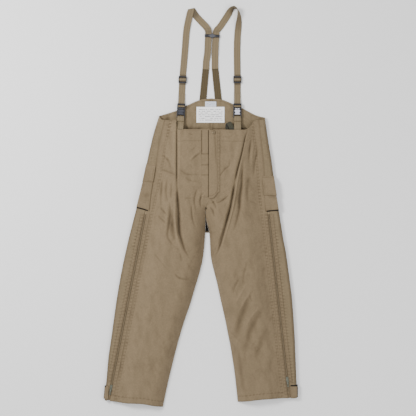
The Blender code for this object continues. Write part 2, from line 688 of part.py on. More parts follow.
def hanging_loop():
    """A short loop of green webbing, sewn inside the front waist, that leans out of the opening."""
    inside = LEFT.front_height(0.108, 0.29) - 0.0048
    path = [
        (0.1232, 0.276, inside, 0), (0.1234, 0.300, inside - 0.0004, 0), (0.1195, 0.320, 0.0275, 0),
        (0.1125, 0.334, 0.0225, 0), (0.1060, 0.3400, 0.0175, 0), (0.1025, 0.335, 0.0130, 0),
        (0.1050, 0.321, 0.0100, 0), (0.1090, 0.304, 0.0085, 0),
    ]
    stations = smooth_path(path, 0.010)
    across = Vector((0.94, 0.34, 0)) * 0.010
    rows = [[Vector(s[:3]) - across, Vector(s[:3]) + across] for s in stations]
    sheet("hanging_loop", rows, DOUBLE, "green_webbing")


def main():
    clear_scene()
    for leg in LEGS:
        front_panel(leg)
        back_panel(leg)
        zip_welts(leg)
        waist_facing(leg)
    crotch_gusset()
    fly()
    leg_zip(RIGHT, -0.722)
    leg_zip(LEFT, -0.690)
    pocket(RIGHT, -0.004, 0.150, 0.001, -0.207, -0.184, flap_low=0.100, flap_top=0.172)
    pocket(LEFT, -0.016, 0.101, 0.001, 0.259, 0.250, flap_low=0.046, flap_top=0.123)
    cuff_tab(RIGHT, -0.768, -0.716, -0.3695)
    cuff_tab(LEFT, -0.763, -0.713, 0.3595)
    elastic("right", (0.0060, 0.400), (0.0205, 0.5543))
    elastic("left", (0.0740, 0.400), (0.0577, 0.5543))
    right_webbing()
    left_webbing()
    for side in ("right", "left"):
        adjuster(side)
        buckle(side)
        buckle_webbing(side)
    yoke_slider()
    label("care_label", (-0.0176, 0.3350), (0.0968, 0.4000), "label")
    label("size_label", (0.0176, 0.4004), (0.0640, 0.4230), "small_label")
    hanging_loop()


main()
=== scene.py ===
"""The looks of a pair of bunker pants that lie on their back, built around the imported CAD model.

+X is the wearer's left, +Y runs from the hems to the suspenders and +Z comes out of the garment's front.
The outlines and the straps' routes repeat the CAD model's own, so every piece lies where its solid lies.
"""

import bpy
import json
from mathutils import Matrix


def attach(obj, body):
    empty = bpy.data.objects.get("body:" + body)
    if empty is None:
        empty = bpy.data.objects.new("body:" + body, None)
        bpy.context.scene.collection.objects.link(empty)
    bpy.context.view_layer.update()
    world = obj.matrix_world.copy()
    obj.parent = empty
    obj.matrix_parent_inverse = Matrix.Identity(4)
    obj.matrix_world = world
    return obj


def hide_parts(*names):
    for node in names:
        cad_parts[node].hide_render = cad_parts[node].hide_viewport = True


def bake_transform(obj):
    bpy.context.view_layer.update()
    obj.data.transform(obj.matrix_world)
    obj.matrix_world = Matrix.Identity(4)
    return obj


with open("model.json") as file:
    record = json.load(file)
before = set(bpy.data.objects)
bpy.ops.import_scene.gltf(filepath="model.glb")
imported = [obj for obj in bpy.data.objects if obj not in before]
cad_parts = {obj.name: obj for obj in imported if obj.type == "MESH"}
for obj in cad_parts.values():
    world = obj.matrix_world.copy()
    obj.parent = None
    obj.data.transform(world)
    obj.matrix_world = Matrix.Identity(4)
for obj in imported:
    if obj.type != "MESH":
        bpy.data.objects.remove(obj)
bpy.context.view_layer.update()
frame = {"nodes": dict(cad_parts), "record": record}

import json
import math

import bpy
import numpy as np
from mathutils import Vector, noise

MM = 0.001
CLOTH = 1.8 * MM  # how thick the garment's cloth looks, seam allowances included
TRIM = 1.2 * MM
WEB_WIDTH = 26.8 * MM  # the webbing's outer edges, its rolled selvedges included
WEB = 1.6 * MM
DOUBLE = 1.4 * MM
ELASTIC = 1.8 * MM

HEM, TOP = -0.780, 0.310
TAB_HINGE = 0.0098  # height of the cuff tabs' hinges
SHELF = 0.018  # height of the level strip along each side, which carries the zip
SHELF_WIDTH = 0.0205
FLY_HEIGHT = 0.036
ZIP_LOW, ZIP_HIGH = -0.745, -0.024
ZIP_MOUTH = 0.006
BUCKLE_BASE = 0.0052
MOUTH_Y = 0.390
ADJUSTER_Y = 0.511

# Rows of stitches
SEAM_ROWS = (0.0240, 0.0300)  # inward of each zip
WELT_ROW = 0.0085  # from the zip's line
HEM_ROW = 0.0235  # above the hem
TOP_ROW, WAIST_ROW = 0.0045, 0.0460  # below the front's top edge
UNDERLAP_ROWS = (0.211, 0.167, 0.127)
FLAP_ROWS = (0.0690, 0.0745)
FLAP_CURVE_X, FLAP_CURVE_Y, FLAP_CURVE_RADIUS = 0.0335, 0.078, 0.0350
FLY_TOP = 0.3052
YOKE_EDGE_Y = 0.7045

DARKEST = 1.4  # the crease value at which a gap is painted black, as its shadow
BLACK, WHITE = (0, 0, 0), (1, 1, 1)

# Flat (width, length) of each cloth piece, right then left. The panels', wedge's, bags' and tabs' sizes
# were set from the built pieces, so their measured shares say only that the numbers agree.
FRONT_FLAT, FRONT_AREAS = (0.29, 1.15), (0.275, 0.257)
BACK_FLAT, BACK_AREAS = (0.38, 1.24), (0.372, 0.360)
WEDGE_FLAT = (0.010, 0.068)
BAG_FLATS = ((0.052, 0.163), (0.056, 0.118))
TAB_FLATS = ((0.0325, 0.052), (0.0445, 0.050))
WAIST_FLAT = (0.044, 0.19)
UNDERLAP_FLAT, FLY_FLAP_FLAT = (0.033, 0.267), (0.047, 0.271)
BORDER_FLATS = {"front": (0.0128, 0.725), "back": (0.0125, 0.675)}
POCKET_FLAP_FLATS = ((0.042, 0.078), (0.048, 0.083))


# Curves


def through(*knots):
    """A smooth function that passes through (position, value) knots and stays level beyond them."""
    places, values = np.array(sorted(knots), float).T
    slopes = np.gradient(values)
    slopes[1:-1] = (values[2:] - values[:-2]) / (places[2:] - places[:-2])
    slopes[0] = (values[1] - values[0]) / (places[1] - places[0])
    slopes[-1] = (values[-1] - values[-2]) / (places[-1] - places[-2])

    def value(y):
        y = np.clip(y, places[0], places[-1])
        i = np.clip(np.searchsorted(places, y, side="right") - 1, 0, len(places) - 2)
        h = places[i + 1] - places[i]
        u = (y - places[i]) / h
        near = (1 + 2 * u) * (1 - u) ** 2 * values[i] + u * (1 - u) ** 2 * h * slopes[i]
        return near + u * u * (3 - 2 * u) * values[i + 1] + u * u * (u - 1) * h * slopes[i + 1]

    return value


def bell(distance, width):
    """1 at no distance, falling smoothly to about a third at one width."""
    return np.exp(-((distance / width) ** 2))


def ease(u):
    u = np.clip(u, 0.0, 1.0)
    return u * u * (3 - 2 * u)


def smooth_path(points, step):
    """Points about one step apart on a smooth curve through tuples of any length."""
    found = [points[0]]
    for i in range(len(points) - 1):
        before, a = points[max(i - 1, 0)], points[i]
        b, after = points[i + 1], points[min(i + 2, len(points) - 1)]
        count = max(1, round(math.dist(a[:3], b[:3]) / step))
        for k in range(1, count + 1):
            u = k / count
            found.append(
                tuple(
                    0.5 * (
                        2 * q
                        + (r - p) * u
                        + (2 * p - 5 * q + 4 * r - s) * u**2
                        + (3 * q - p - 3 * r + s) * u**3
                    )
                    for p, q, r, s in zip(before, a, b, after)
                )
            )
    return found


# The garment's outlines and heights, as in the CAD model


class Leg:
    """One half of the garment: its edges as functions of Y, and the heights of its front panel."""

    def __init__(self, side, outer, inner, zip_low, zip_high, seam, hem, front_top, back_top):
        self.side = side
        self.outer = through(*outer)
        self.inner = through(*inner)
        self.zip_low, self.zip_high = zip_low, zip_high
        self.upper_seam = through((ZIP_HIGH, self.zip_x(ZIP_HIGH)), *seam)
        self.hem = through(*hem)
        self.front_top = through(*front_top)
        self.back_top = through(*back_top)
        self.inward = 1.0 if side == "right" else -1.0

    def own(self, pair):
        """This half's one of a (right, left) pair."""
        return pair[0] if self.side == "right" else pair[1]

    def zip_x(self, y):
        (ax, ay), (bx, by) = self.zip_low, self.zip_high
        return ax + (bx - ax) * (y - ay) / (by - ay)

    def seam(self, y):
        return np.where(y < ZIP_HIGH, self.zip_x(y), self.upper_seam(y))

    def mouth(self, y):
        return ZIP_MOUTH * (1 - ease((y - ZIP_HIGH) / 0.02))

    def front_height(self, x, y):
        span = np.abs(self.inner(y) - self.seam(y))
        crown, edge = CROWN(y), INNER_EDGE(y)
        rise = ease((np.abs(x - self.seam(y)) - SHELF_WIDTH) / (0.34 * span))
        fly_level = 0.052 * ease(y / 0.036)
        to_edge = np.clip((np.abs(self.inner(y) - x) - fly_level) / (0.25 * span), 0.0, 1.0)
        return SHELF + (crown - SHELF) * rise - (crown - edge) * (1 - to_edge) ** 2

    def grid(self, columns, rows, top):
        """The x and y of every point where columns, functions x(y), meet rows of nominal height y."""
        ys = np.repeat(np.asarray(rows, float)[:, None], len(columns), axis=1)
        nominal = ys.copy()
        below = ease(1 - (nominal - HEM) / 0.16)
        above = ease(1 - (TOP - nominal) / 0.16)
        for _ in range(3):
            xs = np.stack([column(ys[:, j]) for j, column in enumerate(columns)], axis=1)
            ys = nominal + (self.hem(xs) - HEM) * below + (top(xs) - TOP) * above
        return xs, ys


CROWN = through((-0.80, 0.034), (-0.50, 0.040), (-0.15, 0.045), (0.05, 0.041), (0.20, 0.037), (0.35, 0.036))
INNER_EDGE = through(
    (-0.20, 0.0036), (-0.11, 0.0038), (-0.05, 0.012), (0.0, 0.028), (0.036, FLY_HEIGHT), (0.31, FLY_HEIGHT)
)
BACK_LIFT = through((0.30, 0.001), (0.345, 0.0014), (0.385, 0.0037), (0.44, 0.0037))

RIGHT_HUMP = ((-0.170, 0.364), (-0.096, 0.387), (-0.063, 0.403), (-0.002, 0.430), (0.0427, 0.4354))
LEFT_HUMP = (
    (0.0433, 0.4354), (0.088, 0.430), (0.129, 0.413), (0.165, 0.397), (0.222, 0.368), (0.260, 0.358)
)

RIGHT = Leg(
    "right",
    outer=(
        (-0.79, -0.3876), (-0.700, -0.3792), (-0.597, -0.370), (-0.530, -0.360), (-0.380, -0.339),
        (-0.258, -0.318), (-0.130, -0.290), (-0.004, -0.258), (0.112, -0.230), (0.198, -0.212),
        (0.292, -0.190), (0.366, -0.167),
    ),
    inner=(
        (-0.803, -0.152), (-0.718, -0.134), (-0.625, -0.112), (-0.547, -0.092), (-0.465, -0.068),
        (-0.395, -0.044), (-0.319, -0.021), (-0.261, -0.004), (-0.202, 0.009), (-0.126, 0.0165),
        (-0.050, 0.019), (-0.005, 0.0205), (0.018, 0.0285), (0.036, 0.0370), (0.10, 0.037), (0.31, 0.037),
    ),
    zip_low=(-0.363, ZIP_LOW),
    zip_high=(-0.220, ZIP_HIGH),
    seam=((0.06, -0.201), (0.15, -0.183), (0.25, -0.168), (0.36, -0.143)),
    hem=((-0.387, -0.775), (-0.302, -0.784), (-0.230, -0.787), (-0.152, -0.803)),
    front_top=(
        (-0.172, 0.3640), (
            -0.1665, 0.3622
        ), (-0.1600, 0.3530), (-0.1520, 0.3485), (-0.108, 0.3458), (-0.0985, 0.3445),
        (-0.0945, 0.311), (-0.060, 0.3095), (0.037, 0.309),
    ),
    back_top=RIGHT_HUMP,
)
LEFT = Leg(
    "left",
    outer=(
        (-0.767, 0.3857), (-0.704, 0.3847), (-0.611, 0.381), (-0.499, 0.376), (-0.373, 0.367),
        (-0.291, 0.357), (-0.183, 0.342), (-0.130, 0.332), (-0.011, 0.313), (0.089, 0.297),
        (0.188, 0.284), (0.261, 0.272), (0.357, 0.258),
    ),
    inner=(
        (-0.783, 0.149), (-0.667, 0.136), (-0.569, 0.121), (-0.513, 0.110), (-0.443, 0.096),
        (-0.373, 0.080), (-0.304, 0.065), (-0.253, 0.052), (-0.202, 0.041), (-0.100, 0.034),
        (-0.050, 0.0222), (-0.005, 0.0213), (0.018, 0.0292), (0.036, 0.0380), (0.046, 0.0440),
        (0.060, 0.049), (0.10, 0.049), (0.31, 0.049),
    ),
    zip_low=(0.3525, ZIP_LOW),
    zip_high=(0.2715, ZIP_HIGH),
    seam=((0.06, 0.262), (0.20, 0.250), (0.36, 0.232)),
    hem=((0.149, -0.783), (0.194, -0.775), (0.234, -0.770), (0.282, -0.767), (0.384, -0.766)),
    front_top=((0.049, 0.309), (0.175, 0.308), (0.195, 0.318), (0.216, 0.344), (0.262, 0.350)),
    back_top=LEFT_HUMP,
)
LEGS = (RIGHT, LEFT)


# Folds. A fold is a line of (x, y) points in mm, with its depth and its half-width in mm at each end
# and in the middle. Cloth sinks along a valley, and stands up along a ridge.

VALLEYS = [
    # the long pleat down the right leg from the step in the front's top edge
    ([(-95, 352), (-95, 300), (-95, 227), (-95, 127), (-94, 80)], (4, 5, 6), (2.6, 2.8, 3.4)),
    (
        [
            (-94, 92),
            (-91, 30),
            (-87, -21),
            (-86, -61),
            (-84, -101),
            (-76, -131),
            (-65, -167),
            (-52, -192),
            (-38, -214),
        ],
        (5, 11, 1),
        (3.5, 7, 5),
    ),
    (
        [(-126, 30), (-121, -11), (-124, -49), (-129, -87), (-132, -115), (-121, -139), (-100, -160)],
        (1, 3.6, 1),
        (4, 7, 5),
    ),
    ([(-114, -10), (-114, -60), (-112, -100), (-100, -140)], (1, 2.4, 1), (9, 13, 8)),
    ([(-104, -264), (-92, -278), (-78, -286), (-43, -291)], (1, 3, 0.5), (4, 5, 4)),
    ([(-187, -185), (-160, -216), (-132, -250)], (0.5, 1.2, 0.5), (4, 4, 4)),
    ([(-37, 12), (-35, -24), (-30, -57), (-16, -84)], (1, 3.4, 1), (3, 3.4, 3)),
    ([(-81, -186), (-75, -217)], (1, 2, 1), (4, 4, 4)),
    ([(-162, -3), (-129, -38)], (1, 3, 1), (4, 4.5, 4)),
    ([(-172, -35), (-137, -67)], (1, 2.2, 1), (5, 5, 4)),
    ([(-165, 290), (-169, 255), (-161, 221)], (1, 1.8, 1), (3, 3.5, 3)),
    ([(-155, 209), (-140, 196), (-128, 182), (-119, 154)], (1, 3.4, 1), (3.5, 5, 4)),
    ([(-166, 153), (-135, 142), (-100, 128)], (1, 2.4, 1), (4, 4, 4)),
    ([(-154, 110), (-159, 47), (-159, 0)], (1, 2.6, 1), (4, 6, 5)),
    ([(-134, 118), (-138, 59), (-130, 14)], (1, 3, 1), (4, 5, 5)),
    ([(-116, 98), (-119, 30)], (1, 2.2, 1), (4, 5, 5)),
    ([(-48, 292), (-27, 286)], (0.6, 1.8, 0.6), (2.6, 2.6, 2.6)),
    ([(0, 214), (-22, 199), (-40, 180)], (0.8, 2, 0.5), (4, 4, 4)),
    ([(-88, 153), (-70, 138), (-51, 129), (0, 129)], (0.8, 1.8, 0.6), (4, 4, 4)),
    ([(-67, 35), (-27, 35)], (0.6, 1.2, 0.6), (3, 3, 3)),
    ([(-62, 118), (-40, 104), (-8, 100)], (0.6, 1.4, 0.6), (4, 5, 4)),
    # rings of creases round the crotch
    ([(3, -6), (-2, 20), (4, 44), (20, 58)], (1.4, 4.2, 1.4), (3, 3.6, 3)),
    ([(-17, -18), (-25, 25), (-16, 70)], (0.8, 2.8, 0.8), (4, 4.5, 4)),
    ([(36, 34), (48, 22), (58, 6), (60, -10)], (1.4, 4.2, 1.4), (3, 3.6, 3)),
    ([(36, -2), (48, -14), (54, -40)], (1.2, 3.6, 1.2), (3.5, 4, 4)),
    ([(113, 50), (97, 33), (74, 19), (56, 15)], (1.2, 4, 1.2), (3, 3.4, 3)),
    # the long diagonal folds of the left leg
    ([(187, 302), (176, 271), (163, 208), (146, 142), (138, 100)], (4, 6, 7), (3, 3.6, 4.2)),
    (
        [
            (139, 106),
            (133, 75),
            (125, 29),
            (117, -11),
            (107, -47),
            (97, -84),
            (86, -124),
            (74, -162),
            (58, -200),
        ],
        (6, 10, 2.5),
        (4.2, 6.0, 6),
    ),
    (
        [(166, 178), (165, 135), (163, 89), (156, 39), (153, -11), (141, -62), (128, -105)],
        (2, 6.5, 0.6),
        (4.5, 8.5, 7),
    ),
    ([(203, 274), (196, 228), (192, 178)], (1, 3.4, 1), (3.5, 4.5, 4)),
    ([(221, 278), (226, 221), (216, 171), (212, 118)], (1, 3, 1), (4, 5.5, 5)),
    ([(250, 280), (233, 243)], (1, 2.6, 1), (3.4, 3.6, 3)),
    ([(118, 190), (113, 162), (98, 152), (77, 125), (58, 111)], (0.8, 2.4, 0.8), (3.4, 3.6, 3)),
    ([(196, 23), (229, 9)], (0.6, 1.2, 0.6), (3, 3, 3)),
    ([(190, 120), (184, 60), (186, 10)], (0.5, 2.4, 0.5), (9, 11, 9)),
    ([(70, -150), (84, -110), (92, -80)], (0.6, 2, 0.6), (5, 5, 4)),
    ([(153, -285), (135, -321), (128, -350)], (0.6, 1.9, 0.6), (4, 5, 4)),
    ([(196, -350), (172, -410), (148, -475), (136, -540)], (1.2, 3.0, 0.9), (13, 20, 16)),
    ([(250, -398), (218, -450), (190, -510), (178, -580)], (0.8, 2.7, 0.9), (13, 20, 16)),
    ([(262, -480), (238, -540), (214, -620)], (0.7, 2.0, 0.7), (13, 18, 14)),
    ([(204, -380), (196, -352), (206, -330)], (0.6, 1.6, 0.6), (6, 8, 6)),
    ([(146, -545), (158, -630), (172, -750)], (0.6, 1.7, 0.8), (9, 14, 11)),
    ([(190, -210), (172, -262), (168, -310)], (0.5, 1.6, 0.5), (6, 8, 6)),
    # the corners of the front waist
    ([(-160, 322), (-140, 330), (-112, 318)], (0.8, 2.4, 0.8), (4, 5, 4)),
    ([(214, 330), (232, 316), (246, 330)], (0.8, 2.4, 0.8), (4, 5, 4)),
]

RIDGES = [
    (
        [(-104, 60), (-102, 7), (-103, -33), (-99, -85), (-90, -133), (-79, -169), (-62, -202)],
        (1, 4.5, 0.8),
        (5, 5.5, 5),
    ),
    ([(-84, 340), (-84, 227), (-84, 120)], (1, 1.6, 1), (5, 6, 5)),
    ([(-106, 330), (-107, 227), (-106, 120)], (1, 1.8, 1), (6, 7, 6)),
    ([(1, 223), (-23, 206), (-43, 187)], (0.8, 2, 0.8), (4, 4.5, 4)),
    (
        [
            (172, 240),
            (163, 191),
            (156, 155),
            (146, 105),
            (136, 39),
            (126, -11),
            (110, -70),
            (93, -123),
            (80, -162),
            (58, -202),
        ],
        (1, 6.5, 1),
        (4, 4.4, 4.4),
    ),
    ([(152, 262), (142, 200), (128, 140), (112, 80)], (0.6, 2.2, 0.6), (8, 10, 8)),
    ([(212, 262), (206, 205), (203, 160)], (0.8, 2.2, 0.8), (4, 5, 5)),
    ([(238, 300), (240, 240), (232, 180)], (0.8, 2, 0.8), (4, 6, 5)),
    ([(-144, 114), (-148, 59), (-145, 8)], (0.8, 2, 0.8), (4, 4.5, 4)),
    ([(-140, 205), (-118, 190), (-110, 165)], (0.6, 2, 0.6), (4, 5, 4)),
    ([(-136, 10), (-134, -50), (-140, -110)], (0.6, 2, 0.6), (5, 6, 5)),
    ([(14, 8), (8, 30), (14, 46), (26, 50)], (0.8, 2, 0.8), (3, 3.6, 3)),
    ([(44, 34), (58, 24), (68, 4)], (0.8, 2, 0.8), (3, 3.6, 3)),
    ([(186, -300), (160, -345), (136, -392)], (0.6, 2.2, 0.6), (4, 5, 4)),
    ([(204, -330), (176, -372), (150, -420)], (0.6, 2.2, 0.6), (4, 5, 4)),
    ([(240, -390), (200, -440), (178, -480)], (0.6, 1.8, 0.6), (4, 5, 4)),
]


def along_line(x, y, line):
    """Each point's distance to the line in metres, and how far along it the nearest place is, 0 to 1."""
    line = np.array(line, float) * MM
    lengths = np.hypot(*np.diff(line, axis=0).T)
    start = np.concatenate([[0], np.cumsum(lengths)])
    best = np.full(x.shape, np.inf)
    place = np.zeros(x.shape)
    for (ax, ay), (bx, by), length, before in zip(line[:-1], line[1:], lengths, start):
        dx, dy = (bx - ax) / length, (by - ay) / length
        t = np.clip((x - ax) * dx + (y - ay) * dy, 0, length)
        distance = np.hypot(x - ax - t * dx, y - ay - t * dy)
        nearer = distance < best
        best = np.where(nearer, distance, best)
        place = np.where(nearer, (before + t) / start[-1], place)
    return best, place


def smooth_line(line):
    """The line's own points joined by a smooth curve."""
    return smooth_path([(float(x), float(y), 0.0) for x, y in line], 9.0)


def soft_noise(x, y, size_x, size_y, seed):
    """Smooth noise of about -1 to 1 whose lumps are size_x by size_y metres."""
    flat = np.array([noise.noise((a / size_x, b / size_y, seed)) for a, b in zip(x.ravel(), y.ravel())])
    return 1.6 * flat.reshape(x.shape)


def relief(x, y):
    """How far the cloth stands off its plain shape, and its painted shade, from 0 to 1 (below 0 on ridges).
    """
    lift = np.zeros(x.shape)
    shade = np.zeros(x.shape)
    for folds, sign in ((VALLEYS, -1), (RIDGES, 1)):
        for line, depth, width in folds:
            points = [(p[0], p[1]) for p in smooth_line(line)]
            distance, place = along_line(x, y, points)
            d = np.interp(place, (0, 0.45, 1), depth) * MM
            w = np.interp(place, (0, 0.45, 1), width) * MM
            ends = np.clip(np.minimum(place, 1 - place) / 0.16, 0, 1)
            profile = bell(distance, w) * ease(0.25 + 0.75 * ends)
            lift += sign * 1.15 * d * profile
            # Painted shade down each valley's core, and a painted highlight along each ridge.
            core = bell(distance, 0.62 * w) if sign < 0 else bell(distance, 0.9 * w) * 0.7
            shade -= sign * np.clip(0.12 + d / (6.0 * MM), 0, 1) * core * ease(ends * 0.8 + 0.2)
    slant = 0.16 * y
    lift += 1.3 * MM * soft_noise(x - slant, y, 0.050, 0.150, 3.0)
    broad = soft_noise(x + slant, y, 0.022, 0.055, 11.0)
    lift += 0.7 * MM * broad
    lift += 0.25 * MM * soft_noise(x, y, 0.010, 0.016, 19.0)
    for size_x, size_y, tilt, seed in (
        (0.050, 0.090, 0.5, 131.0),
        (0.040, 0.110, -0.35, 137.0),
        (0.021, 0.050, 0.4, 151.0),
        (0.024, 0.040, -0.6, 157.0),
    ):
        across = soft_noise(x + tilt * y, y, size_x, size_y, seed)
        wrinkle = (
            ease(1 - np.abs(across) / 0.20) * np.clip(soft_noise(x, y, 0.07, 0.12, seed + 1) - 0.05, 0, 1)
        )
        lift -= 22 * size_x * MM * wrinkle
        shade += 0.17 * wrinkle
    shade += 0.14 * np.clip(-broad, -0.6, 1)
    # Painted black shadow in the small hole at the crotch, past 1.
    hole = np.hypot(x - 0.0215, (y + 0.006) * 0.8)
    return lift, np.clip(shade, -0.6, 0.95) + 1.5 * ease(1 - hole / 0.0058)


def puckers(along, away, spacing, seed):
    """The gathers beside a row of stitches: along and away are distances from the row's start and line."""
    drift = (
        0.35
        * spacing
        * np.array([noise.noise((a / 0.045, seed, 0)) for a in along.ravel()]).reshape(along.shape)
    )
    strength = (
        0.6
        + 0.8 * np.array([noise.noise((a / 0.090, seed, 7)) for a in along.ravel()]).reshape(along.shape)
    )
    return np.clip(strength, 0.1, 1.2) * np.cos(2 * np.pi * (along + drift) / spacing) * bell(away, 0.0048)


# Meshes


def new_object(name, points, faces, looks, smooth=True):
    mesh = bpy.data.meshes.new(name)
    mesh.from_pydata([tuple(p) for p in points], [], [tuple(int(i) for i in f) for f in faces])
    mesh.update()
    if smooth:
        mesh.shade_smooth()
    for look in looks if isinstance(looks, (list, tuple)) else [looks]:
        mesh.materials.append(look)
    obj = bpy.data.objects.new(name, mesh)
    bpy.context.scene.collection.objects.link(obj)
    return obj


def grid_faces(rows, columns):
    i, j = np.meshgrid(np.arange(rows - 1), np.arange(columns - 1), indexing="ij")
    a = (i * columns + j).ravel()
    return np.stack([a, a + 1, a + columns + 1, a + columns], axis=1)


def facing_up(points, rows, columns):
    """The grid's faces, turned so that the middle one faces up."""
    faces = grid_faces(rows, columns)
    corners = points[faces[len(faces) // 2]]
    normal = np.cross(corners[1] - corners[0], corners[3] - corners[0])
    return faces if normal[2] > 0 else faces[:, ::-1]


def shell(name, x, y, z, thickness, look, shade=None, offset=-1.0, faces_up=True):
    """A sheet of cloth with an even thickness below the surface that x, y and z give."""
    rows, columns = x.shape
    points = np.stack([x.ravel(), y.ravel(), z.ravel()], axis=1)
    faces = facing_up(points, rows, columns) if faces_up else grid_faces(rows, columns)
    obj = new_object(name, points, faces, look)
    # The crease attribute holds painted shade: the cloth and webbing darken by it, pale below 0 and turn
    # black above about 1.
    if shade is not None:
        mark(obj, "crease", shade.ravel())
    thicken(obj, thickness, offset)
    obj.data.shade_smooth()
    obj.data.set_sharp_from_angle(angle=math.radians(50))
    return obj


def mark(obj, name, values):
    attribute = obj.data.attributes.new(name, "FLOAT", "POINT")
    attribute.data.foreach_set("value", np.asarray(values, np.float32).ravel())


def corner_points(obj):
    """The point that each corner of each face belongs to."""
    index = np.zeros(len(obj.data.loops), int)
    obj.data.loops.foreach_get("vertex_index", index)
    return index


def map_uv(layer, u, v):
    layer.data.foreach_set("uv", np.stack([u, v], axis=1).astype(np.float32).ravel())


def thicken(obj, thickness, offset):
    solid = obj.modifiers.new("thickness", "SOLIDIFY")
    solid.thickness = thickness
    solid.offset = offset
    bake(obj)


def bake(obj):
    """Applies the modifiers."""
    graph = bpy.context.evaluated_depsgraph_get()
    final = bpy.data.meshes.new_from_object(
        obj.evaluated_get(graph), preserve_all_data_layers=True, depsgraph=graph
    )
    obj.modifiers.clear()
    old = obj.data
    obj.data = final
    bpy.data.meshes.remove(old)


# Materials


class Nodes:
    """A material's node tree, with short calls for what every material here needs."""

    def __init__(self, name, colour, roughness, metallic=0.0, sheen=0.0, coat=0.0, specular=0.5):
        self.material = bpy.data.materials.new(name)
        self.material.use_nodes = True
        self.tree = self.material.node_tree
        self.shader = self.tree.nodes["Principled BSDF"]
        self.shader.inputs["Base Color"].default_value = (*colour, 1)
        self.shader.inputs["Roughness"].default_value = roughness
        self.shader.inputs["Metallic"].default_value = metallic
        self.shader.inputs["Sheen Weight"].default_value = sheen
        self.shader.inputs["Sheen Roughness"].default_value = 0.5
        self.shader.inputs["Coat Weight"].default_value = coat
        self.shader.inputs["Coat Roughness"].default_value = 0.2
        self.shader.inputs["Specular IOR Level"].default_value = specular
        self.place = self.node("ShaderNodeTexCoord").outputs["Object"]

    def node(self, kind, **settings):
        made = self.tree.nodes.new(kind)
        for key, value in settings.items():
            setattr(made, key, value)
        return made

    def link(self, a, b):
        self.tree.links.new(a, b)

    def scaled(self, x, y, z, rotation=0.0, source=None):
        mapping = self.node("ShaderNodeMapping")
        mapping.inputs["Scale"].default_value = (x, y, z)
        mapping.inputs["Rotation"].default_value = (0, 0, rotation)
        self.link(source or self.place, mapping.inputs["Vector"])
        return mapping.outputs["Vector"]

    def noise(self, scale, detail=2.0, vector=None):
        made = self.node("ShaderNodeTexNoise")
        made.inputs["Scale"].default_value = scale
        made.inputs["Detail"].default_value = detail
        self.link(vector or self.place, made.inputs["Vector"])
        return made.outputs["Fac"]

    def waves(self, scale, vector=None, distortion=0.0, direction="X"):
        made = self.node("ShaderNodeTexWave", wave_type="BANDS", bands_direction=direction)
        made.inputs["Scale"].default_value = scale
        made.inputs["Distortion"].default_value = distortion
        self.link(vector or self.place, made.inputs["Vector"])
        return made.outputs["Fac"]

    def math(self, operation, a, b=0.5, c=None):
        made = self.node("ShaderNodeMath", operation=operation)
        for socket, value in zip(made.inputs, (a, b, c)):
            if value is None:
                continue
            if isinstance(value, (int, float)):
                socket.default_value = value
            else:
                self.link(value, socket)
        return made.outputs[0]

    def ramp(self, factor, low, high, colour_low, colour_high):
        made = self.node("ShaderNodeValToRGB")
        made.color_ramp.elements[0].position = low
        made.color_ramp.elements[1].position = high
        made.color_ramp.elements[0].color = (*colour_low, 1)
        made.color_ramp.elements[1].color = (*colour_high, 1)
        self.link(factor, made.inputs["Fac"])
        return made.outputs["Color"]

    def mix(self, factor, a, b, blend="MIX"):
        made = self.node("ShaderNodeMix", data_type="RGBA", blend_type=blend)
        made.clamp_factor = True
        sockets = [s for s in made.inputs if s.enabled]
        for socket, value in zip(sockets, (factor, a, b)):
            if isinstance(value, (int, float)):
                socket.default_value = value
            elif isinstance(value, tuple):
                socket.default_value = (*value, 1)
            else:
                self.link(value, socket)
        return next(s for s in made.outputs if s.enabled)

    def attribute(self, name):
        return self.node("ShaderNodeAttribute", attribute_name=name).outputs["Fac"]

    def bump(self, height, strength, distance):
        made = self.node("ShaderNodeBump")
        made.inputs["Strength"].default_value = strength
        made.inputs["Distance"].default_value = distance
        self.link(height, made.inputs["Height"])
        self.link(made.outputs["Normal"], self.shader.inputs["Normal"])

    def colour(self, socket):
        self.link(socket, self.shader.inputs["Base Color"])

    def rough(self, socket):
        self.link(socket, self.shader.inputs["Roughness"])


def shade_of(colour, factor):
    return tuple(c * factor for c in colour)


def grey(value):
    return (value, value, value)


def blotched(look, tone, base, amount, factor, low, high, dark, pale):
    """The tone with some of the base colour's darker and paler shades over it, where factor says."""
    return look.mix(amount, tone, look.ramp(factor, low, high, shade_of(base, dark), shade_of(base, pale)))


def paint_gap_shadow_black(look, tone):
    """The tone, painted black where the crease value is over about 1, as the shadow down in a gap."""
    gap = look.ramp(look.math("MULTIPLY", look.attribute("crease"), 0.5), 0.5, 0.66, BLACK, WHITE)
    return look.mix(gap, tone, (0.006, 0.005, 0.004))


